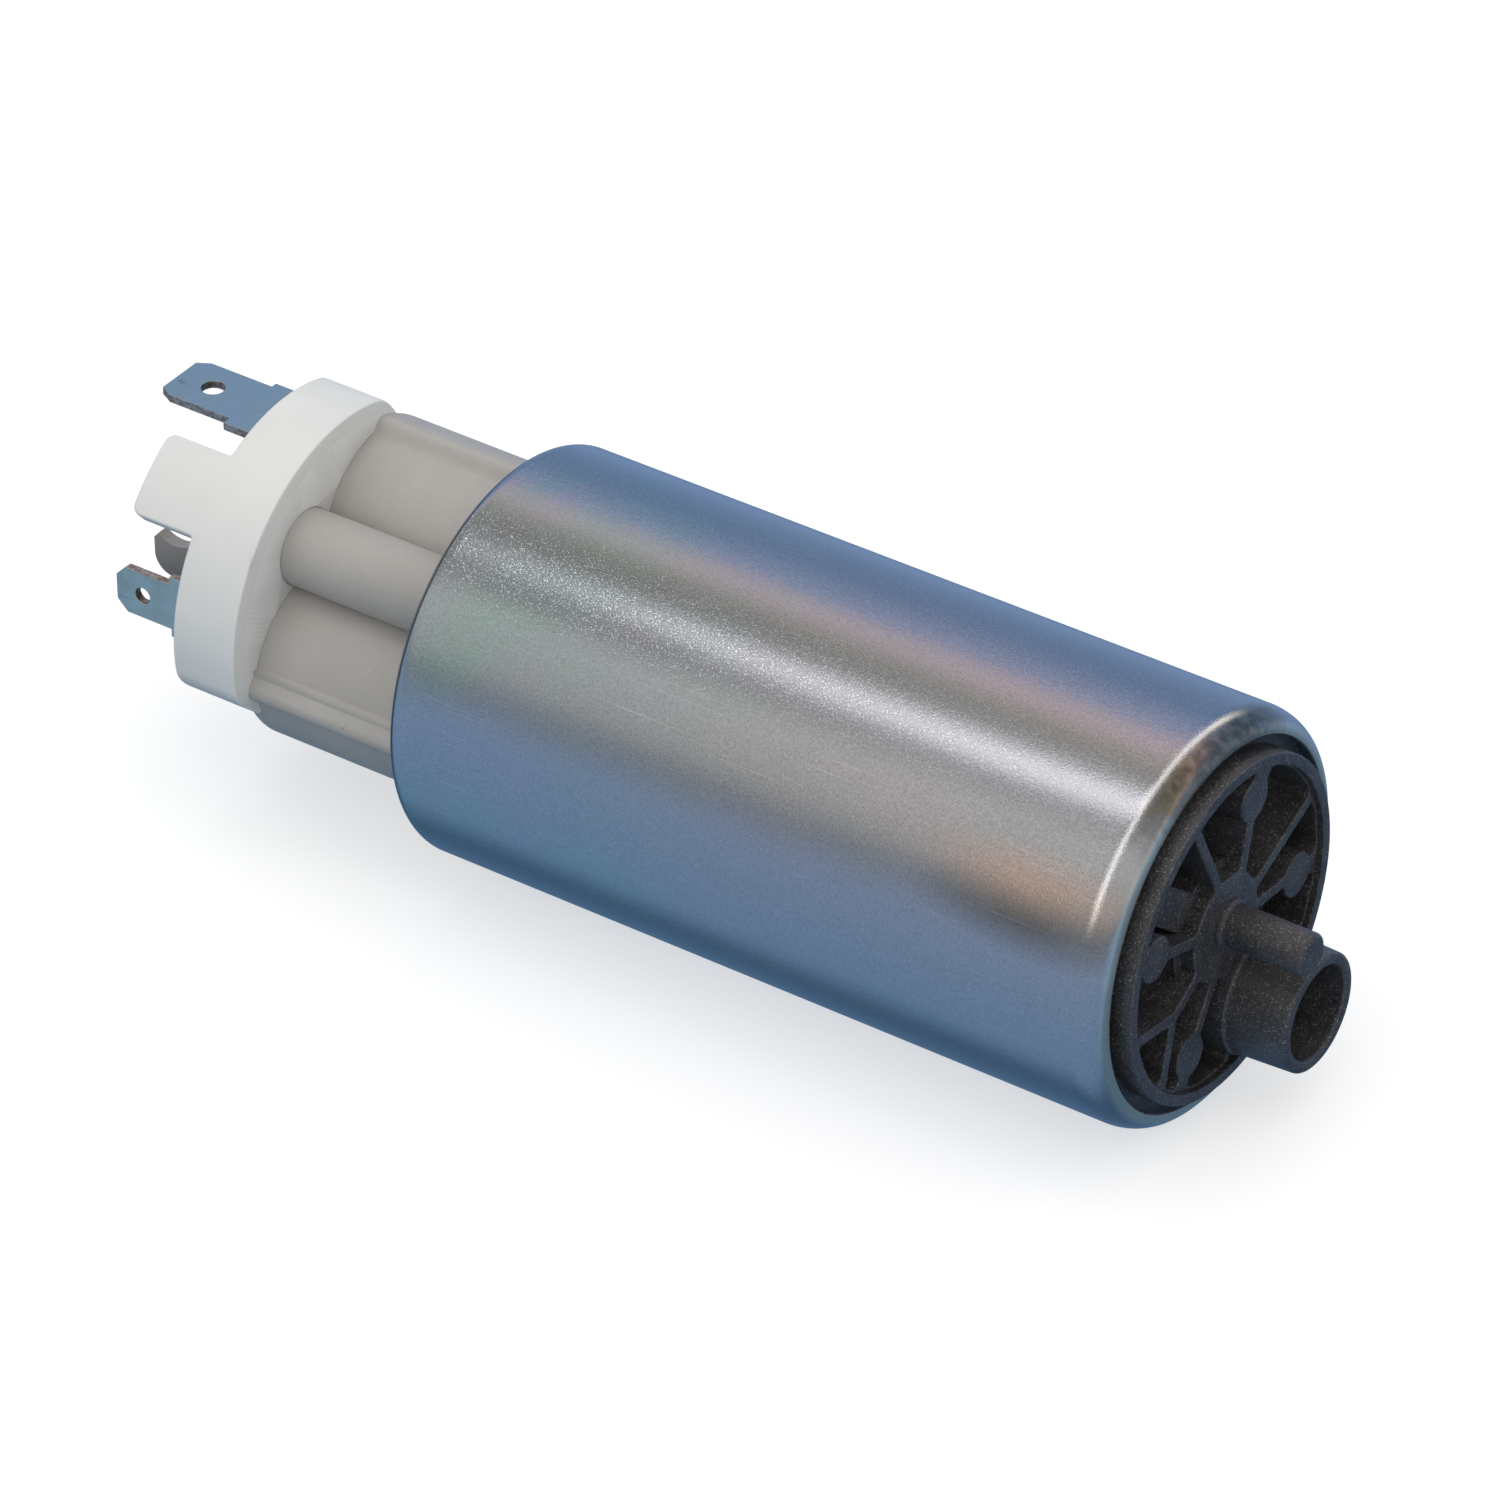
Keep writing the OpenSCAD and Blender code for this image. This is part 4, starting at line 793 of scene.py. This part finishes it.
class PUMP_OT_outlet_cover(bpy.types.Operator):
    """Makes the grey outlet cover with its panels, boss, ribs and nozzle"""
    bl_idname = "pump.outlet_cover"
    bl_label = "Outlet cover"

    def execute(self, context):
        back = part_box("pump_can")[0].x
        lip, seat = back + 1.25 * MM, back - 17.6 * MM
        step, top = back - 18.9 * MM, back - 20.6 * MM

        # the CAD cover with its own ribs pressed in under the new shell
        bm = merged("outlet_cover")
        for v in bm.verts:
            r = v.co.yz.length
            if v.co.x < lip + 0.01 * MM and 14.9 * MM < r < 15.76 * MM:
                v.co.y, v.co.z = (n * 14.5 * MM / r for n in (v.co.y, v.co.z))

        def shell(a):
            return cover_reach(a, 0.015 * MM)

        def plateau(a):
            return min(shell(a), cap_reach(a, -0.02 * MM))

        add(bm, raised(between(shell, lambda a: shell(a) - 1.3 * MM), lip + 0.3 * MM, step - 0.02 * MM,
                       0.06 * MM, 2))
        add(bm, raised(between(plateau, lambda a: plateau(a) - 0.4 * MM), step + 0.3 * MM, top - 0.01 * MM,
                       0.1 * MM, 2))
        arc = [(-62.0 - 18.4 * i / 16, 15.74) for i in range(17)]
        upper = [(-54.6, 13.5), (-56.2, 14.00), (-57.0, 14.18), (-57.7, 14.48), (-58.2, 14.88),
                 (-58.7, 15.24), (-59.4, 15.50), (-60.4, 15.67), *arc, (-83.2, 14.7), (-84.0, 14.2)]
        lower = [(54.0, 13.4), (55.2, 14.00), (56.2, 14.24), (57.2, 14.58), (58.2, 14.96), (59.2, 15.28),
                 (60.2, 15.50), (61.4, 15.63), (62.6, 15.66), (63.8, 15.58), (64.8, 15.36), (65.6, 15.05),
                 (66.4, 14.7), (67.0, 14.2)]
        add(bm, ridge(upper, seat, lip + 0.2 * MM, 0.05 * MM))
        add(bm, ridge(lower, seat, lip + 0.2 * MM, 0.0))

        # the nozzle with its barb, from its tip
        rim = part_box("terminal_cap")[1].x - CAP_DEPTH
        shoulder = rim - 2.4 * MM
        nozzle = mm([(0.1, 2.44), (0.0, 2.56), (0.0, 3.55), (0.12, 3.68), (1.9, 4.37), (2.0, 4.41),
                     (2.1, 4.40), (2.6, 4.02)], rim - 11.01 * MM)
        nozzle += mm([(-0.25, 4.02), (0.0, 4.25), (0.0, 4.45), (0.6, 5.02)], shoulder)
        nozzle += mm([(-0.2, 5.02), (-0.2, 4.4)], top) + mm([(1.0, 4.4), (1.0, 2.44)], shoulder)
        add(bm, spun(nozzle, 96, polar(8.3 * MM, BOSS_ANGLE + math.pi)))
        set_piece(bm, "outlet_cover_moulding", "outlet_cover", 30.0)
        return {"FINISHED"}


class PUMP_OT_cap(bpy.types.Operator):
    """Makes the white cap with its tab"""
    bl_idname = "pump.cap"
    bl_label = "Cap"

    @staticmethod
    def tab(end, rim, edge):
        """The tab as a flat plate with filleted roots, bent to the cap's radius."""
        bm = bmesh.new()
        foot, sunk, half, wing = rim + 0.12 * MM, rim + 1.2 * MM, 3.95 * MM, 4.55 * MM
        plate = [(sunk, -wing), (foot, -wing), (foot, -half), (end, -half),
                 (end, half), (foot, half), (foot, wing), (sunk, wing)]
        bm.faces.new([bm.verts.new((x, y, 0.0)) for x, y in plate])
        for x, radius in ((end, 0.9 * MM), (foot, 0.5 * MM)):
            bevel(bm, [v for v in bm.verts if abs(v.co.x - x) < SAME and abs(abs(v.co.y) - half) < SAME],
                  radius, 8, "VERTICES")
        proud = 0.003 * MM
        out = bmesh.ops.extrude_face_region(bm, geom=bm.faces[:])["geom"]
        bmesh.ops.translate(bm, vec=(0, 0, -CAP_WALL - 2 * proud), verts=only(bmesh.types.BMVert, out))
        outward(bm)
        soften(bm, edge, 4, 60.0, lambda e: min(v.co.x for v in e.verts) < foot - 0.01 * MM)
        for i in range(-15, 16):
            bmesh.ops.bisect_plane(bm, geom=every(bm), plane_co=(0, i * 0.29 * MM, 0), plane_no=(0, 1, 0))
        for v in bm.verts:
            r = CAP_RADIUS + proud + v.co.z
            v.co.z = math.sqrt(r * r - v.co.y ** 2)
        turn_about_axis(bm, BOSS_ANGLE - math.pi / 2)
        return bm

    def execute(self, context):
        edge = context.scene.pump_sizes.cap_edge
        low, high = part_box("terminal_cap")
        inner = CAP_RADIUS - CAP_WALL
        seat, rim = high.x, high.x - CAP_DEPTH
        bm = spun(corner(rim, CAP_RADIUS, 1, -1, edge, 5) + corner(seat, CAP_RADIUS, -1, -1, edge, 5)[::-1]
                  + [(seat, inner)] + corner(rim, inner, 1, 1, edge, 5)[::-1], ROUND_STEPS)

        # the round ring takes the cap's outline, and steps back where the grey cover stands outside it
        beside, clear, blend, step = 0.05 * MM, 0.10 * MM, 0.45 * MM, 3.05 * MM
        for v in bm.verts:
            r = v.co.yz.length
            a = math.atan2(v.co.z, v.co.y) - BOSS_ANGLE
            wide, narrow = cap_reach(a), cap_reach(a, CAP_WALL)
            grown = (narrow + (r - inner) / CAP_WALL * (wide - narrow)) / r
            v.co.y, v.co.z = v.co.y * grown, v.co.z * grown
            if v.co.x > rim + 3 * MM:
                share = (cover_reach(a, beside) + clear - wide) / blend + 0.5
                share = min(max(share, 0.0), 1.0)
                v.co.x -= step * share * share * (3 - 2 * share)
        add(bm, self.tab(low.x, rim, edge))

        def hidden(a):
            return cap_reach(a, 0.8 * MM)

        def round_cover(a):
            return min(cover_reach(a, beside), cap_reach(a, 1.2 * MM))

        add(bm, raised(between(hidden, round_cover), seat - 2.0 * MM, seat - 0.004 * MM, 0.08 * MM, 2))
        set_piece(bm, "cap_moulding", "terminal_cap", 35.0)
        return {"FINISHED"}


class PUMP_OT_blades(bpy.types.Operator):
    """Makes the two stamped blades"""
    bl_idname = "pump.blades"
    bl_label = "Blades"

    def execute(self, context):
        for node in ("terminal_large", "terminal_small"):
            bm = merged(node)
            bmesh.ops.dissolve_limit(bm, angle_limit=math.radians(0.4), verts=bm.verts[:], edges=bm.edges[:],
                                     use_dissolve_boundaries=False, delimit=set())
            if node == "terminal_large":
                middle_y, shoulder = middle(node).y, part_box(node)[0].x + 7.5 * MM
                for v in bm.verts:
                    if abs(v.co.x - shoulder) < 0.4 * MM:
                        v.co.x += 0.5 * MM
                    if v.co.x > shoulder - 0.4 * MM and v.co.y > middle_y + 3.3 * MM:
                        v.co.y -= 0.3 * MM
            soften(bm, context.scene.pump_sizes.blade_edge, 2)
            set_piece(bm, node + "_stamping", node, 40.0)
        return {"FINISHED"}


class PUMP_OT_coils(bpy.types.Operator):
    """Makes the springs, the choke coils and the brush leads of round wire"""
    bl_idname = "pump.coils"
    bl_label = "Springs and coils"

    def execute(self, context):
        # node: wire radius in mm, turns, and for a spring its joint and what it keeps of its length
        coils = {"brush_spring_a": (0.30, 9, "brush_a_travel", 0.81),
                 "brush_spring_b": (0.30, 9, "brush_b_travel", 0.81),
                 "choke_coil_a": (0.25, 9, None, 1.0),
                 "choke_coil_b": (0.25, 9, None, 1.0),
                 "check_valve_spring": (0.25, 6, "check_valve_travel", 0.73),
                 "relief_spring": (0.22, 5, "relief_valve_travel", 0.87)}
        for node, (wire, turns, joint, keep) in coils.items():
            low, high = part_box(node)
            wire *= MM
            r = (high.y - low.y) / 2 - wire
            bm = wire_coil(middle(node).yz, r, wire, low.x + wire, high.x - wire, turns)
            piece = set_piece(bm, node + "_wire", node, 60.0, weighted=False)
            if joint:
                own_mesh(piece)

        # each lead is a straight core with six strands laid round it
        strands = [2 * math.pi * i / 6 for i in range(6)]
        for side in "ab":
            node = "brush_lead_" + side
            low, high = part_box(node)
            centre, x0, x1 = middle(node).yz, low.x + 0.1 * MM, high.x - 0.1 * MM
            braid = bmesh.new()
            for start in strands:
                add(braid, wire_coil(centre, 0.31 * MM, 0.17 * MM, x0, x1, 5, start, 20, 8))
            add(braid, wire_coil(centre, 0.02 * MM, 0.2 * MM, x0, x1, 1, 0.0, 8, 8))
            piece = set_piece(braid, node + "_braid", node, 60.0, weighted=False)
            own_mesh(piece)
        return {"FINISHED"}


class PUMP_OT_windings(bpy.types.Operator):
    """Winds the armature: each coil runs out through one slot and back through the third slot on"""
    bl_idname = "pump.windings"
    bl_label = "Windings"

    def execute(self, context):
        low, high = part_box("armature_core")
        clear, wire, pitch, steps = 0.6 * MM, 0.26 * MM, 0.56 * MM, 12
        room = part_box("windings")[1].x - high.x - clear
        slot = 2 * math.pi / 8
        wound = bpy.data.curves.new("armature_wire", "CURVE")
        wound.dimensions = "3D"
        wound.bevel_depth = wire
        wound.bevel_resolution = 2
        wound.use_fill_caps = True
        for coil in range(8):
            for strand in range(8):
                row, column = divmod(strand, 4)
                r = 6.75 * MM + pitch * column
                skew = (row - 0.5) * pitch
                path = []
                for side, face in ((1, high.x + clear), (-1, low.x - clear)):
                    for i in range(steps + 1)[::side]:
                        t = i / steps
                        a = (coil + 3 * t) * slot + skew * (1 - 2 * t) / r
                        rise = (0.18 + 0.68 * min(t / 0.9, 1.0)) * min(1.0, t / 0.08, (1 - t) / 0.05)
                        x = face + side * (rise * (room - 2 * wire) * 0.93 + row * 0.2 * MM)
                        path.append((x, *polar(r - 1.6 * MM * math.sin(math.pi * t), a), 1.0))
                line = wound.splines.new("POLY")
                line.points.add(len(path) - 1)
                for point, place in zip(line.points, path):
                    point.co = place
                line.use_cyclic_u = True
        holder = put_in_scene("armature_wire", wound)
        context.view_layer.update()
        made = bpy.data.meshes.new_from_object(holder.evaluated_get(context.evaluated_depsgraph_get()))
        bm = bmesh.new()
        bm.from_mesh(made)
        bpy.data.objects.remove(holder)
        bpy.data.curves.remove(wound)
        bpy.data.meshes.remove(made)
        set_piece(outward(bm), "armature_windings", "windings", 60.0, weighted=False)
        return {"FINISHED"}


class PUMP_OT_inner_parts(bpy.types.Operator):
    """Gives every CAD node its finish"""
    bl_idname = "pump.inner_parts"
    bl_label = "Inner parts"

    def execute(self, context):
        for node, shown in frame["nodes"].items():
            material = finish(NODE_FINISH[node])
            if shown.data.materials:
                for slot in shown.material_slots:
                    slot.material = material
            else:
                shown.data.materials.append(material)
        return {"FINISHED"}


# stage
KEY_AT = (-0.155, -0.067, 0.45)
KEY_SIZE = (0.10, 0.18)
KEY_COLOR = (0.97, 0.95, 1.0)
CAMERA_AT = (0.34132, -0.51313, 0.43870)
CAMERA_AIM = (-0.4625, 0.6732, -0.5770)
CAMERA_LENS = 211.25
FLOOR_SIZE = 3.0
WHITE = (1.0, 1.0, 1.0)
BLACK = (0.0, 0.0, 0.0)

# the cards round the pump that its metal mirrors
NIGHT_BLUE = (0.10, 0.20, 0.35)
SKY_BLUE = (0.30, 0.45, 0.75)
ICE_BLUE = (0.55, 0.65, 1.00)
PINK_STRIP = (1.20, 0.95, 1.00)
WARM_GREY = (0.60, 0.60, 0.55)
COOL_GREY = (0.65, 0.65, 0.70)
PALE_CARD = (0.80, 0.80, 0.80)
SLATE = (0.45, 0.50, 0.55)
NEAR_PAPER = (0.45, 0.60, 0.90)
FAR_PAPER = (0.30, 0.50, 0.80)
# where each card stands, by degrees round the axis from straight up towards the front
MIRRORED = ((-130, NIGHT_BLUE), (-105, SKY_BLUE), (-65, SKY_BLUE), (-45, ICE_BLUE), (-30, PINK_STRIP),
            (-15, WARM_GREY), (5, COOL_GREY), (20, COOL_GREY), (35, WHITE), (65, PALE_CARD), (80, SLATE),
            (100, NEAR_PAPER), (160, FAR_PAPER), (180, NIGHT_BLUE))
# a bright band that only turned edges mirror, by the direction's part along X and its height
BAND_ALONG = ((0.36, BLACK), (0.385, WHITE), (0.425, WHITE), (0.46, BLACK))
BAND_ABOVE = ((0.60, BLACK), (0.74, WHITE))
BAND_COLOR = (3.0, 2.98, 3.05)
# what dull surfaces receive, by how far the direction leans towards the sky's brightest place
SKY_BRIGHTEST = (0.32, -0.24, 0.92)
RECEIVED = ((0.0, (0.06, 0.12, 0.18)), (0.32, (0.09, 0.17, 0.24)), (0.5, (0.29, 0.36, 0.40)),
            (0.72, (0.78, 0.79, 0.78)), (1.0, (1.12, 1.10, 1.05)))


def light_world(strength):
    """A pale dome overhead, cool at the sides and below, and plain white behind."""
    world = bpy.data.worlds.new("studio_surround")
    world.use_nodes = True
    w = Nodes(world.node_tree)
    direction = w.node("ShaderNodeTexCoord").outputs["Generated"]
    x, y, z = w.node("ShaderNodeSeparateXYZ", Vector=direction).outputs
    turn = w.spread(w.round_axis(y, z), -math.pi, math.pi)
    mirrored = w.ramp(turn, [((a + 180) / 360, color) for a, color in MIRRORED])
    band = w.times(w.ramp(w.spread(x, -1.0, 1.0), BAND_ALONG), w.ramp(w.spread(z, -1.0, 1.0), BAND_ABOVE))
    mirrored = w.mix(band, mirrored, BAND_COLOR)

    lean = w.node("ShaderNodeVectorMath", "DOT_PRODUCT", Vector=direction)
    w.put(lean.inputs[1], Vector(SKY_BRIGHTEST).normalized())
    received = w.ramp(w.spread(lean.outputs["Value"], -1.0, 1.0), RECEIVED)

    ray = w.node("ShaderNodeLightPath").outputs
    lit = w.mix(ray["Is Diffuse Ray"], mirrored, received)
    back = w.tree.nodes["Background"]
    w.put(back.inputs["Color"], w.mix(ray["Is Camera Ray"], lit, WHITE))
    w.put(back.inputs["Strength"], strength)
    bpy.context.scene.world = world


def aim(direction):
    return Vector(direction).to_track_quat("-Z", "Y").to_euler()


class PUMP_OT_stage(bpy.types.Operator):
    """Makes the floor, the lights and the camera"""
    bl_idname = "pump.stage"
    bl_label = "Stage"

    def execute(self, context):
        scene = context.scene
        studio = scene.pump_studio
        ground = min(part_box("pump_can")[0].z, -CAN_RADIUS)
        bm = bmesh.new()
        bmesh.ops.create_grid(bm, x_segments=2, y_segments=2, size=FLOOR_SIZE)
        bmesh.ops.translate(bm, vec=(0, 0, ground - 0.05 * MM), verts=bm.verts[:])
        floor = put_in_scene("floor", mesh_from(bm, "floor"))
        paper = Finish("floor_paper", (0.60, 0.60, 0.61), 0.0, 0.9)
        paper.set(Emission_Color=(*WHITE, 1.0), Emission_Strength=0.56, Specular_IOR_Level=0.0)
        floor.data.materials.append(paper.material)
        floor.visible_glossy = False
        floor.visible_diffuse = False
        floor.visible_shadow = False

        light_world(studio.fill)
        light = bpy.data.lights.new("key_softbox", "AREA")
        light.shape = "RECTANGLE"
        light.size, light.size_y = KEY_SIZE
        light.energy = studio.key_power
        light.color = KEY_COLOR
        lamp = put_in_scene("key_softbox", light)
        lamp.location = KEY_AT
        lamp.rotation_euler = aim([-v for v in KEY_AT])
        lamp.visible_camera = False

        camera = put_in_scene("camera", bpy.data.cameras.new("camera"))
        camera.data.sensor_width = 36.0
        camera.data.lens = CAMERA_LENS
        camera.data.clip_start, camera.data.clip_end = 0.05, 20.0
        camera.location = CAMERA_AT
        camera.rotation_euler = aim(CAMERA_AIM)
        scene.camera = camera
        scene.view_settings.view_transform = "Standard"
        return {"FINISHED"}


class PUMP_PT_panel(bpy.types.Panel):
    bl_label = "Fuel pump"
    bl_idname = "PUMP_PT_panel"
    bl_space_type = "VIEW_3D"
    bl_region_type = "UI"
    bl_category = "Fuel pump"

    def draw(self, context):
        for name in GROUPS:
            group = getattr(context.scene, name)
            box = self.layout.box()
            for key in group.__annotations__:
                box.prop(group, key)
        for operator in OPERATORS:
            self.layout.operator(operator.bl_idname)


OPERATORS = (PUMP_OT_can, PUMP_OT_inlet_cover, PUMP_OT_outlet_cover, PUMP_OT_cap, PUMP_OT_blades,
             PUMP_OT_coils, PUMP_OT_windings, PUMP_OT_inner_parts, PUMP_OT_stage)
GROUPS = {"pump_sizes": PumpSizes, "pump_colours": PumpColours, "pump_studio": StudioSettings}


def register():
    for item in (*GROUPS.values(), *OPERATORS, PUMP_PT_panel):
        bpy.utils.register_class(item)
    for key, group in GROUPS.items():
        setattr(bpy.types.Scene, key, bpy.props.PointerProperty(type=group))


def unregister():
    for key in GROUPS:
        delattr(bpy.types.Scene, key)
    for item in reversed((*GROUPS.values(), *OPERATORS, PUMP_PT_panel)):
        bpy.utils.unregister_class(item)


def main():
    register()
    bpy.ops.pump.can()
    bpy.ops.pump.inlet_cover()
    bpy.ops.pump.outlet_cover()
    bpy.ops.pump.cap()
    bpy.ops.pump.blades()
    bpy.ops.pump.coils()
    bpy.ops.pump.windings()
    bpy.ops.pump.inner_parts()
    bpy.ops.pump.stage()


if __name__ == "__main__":
    main()
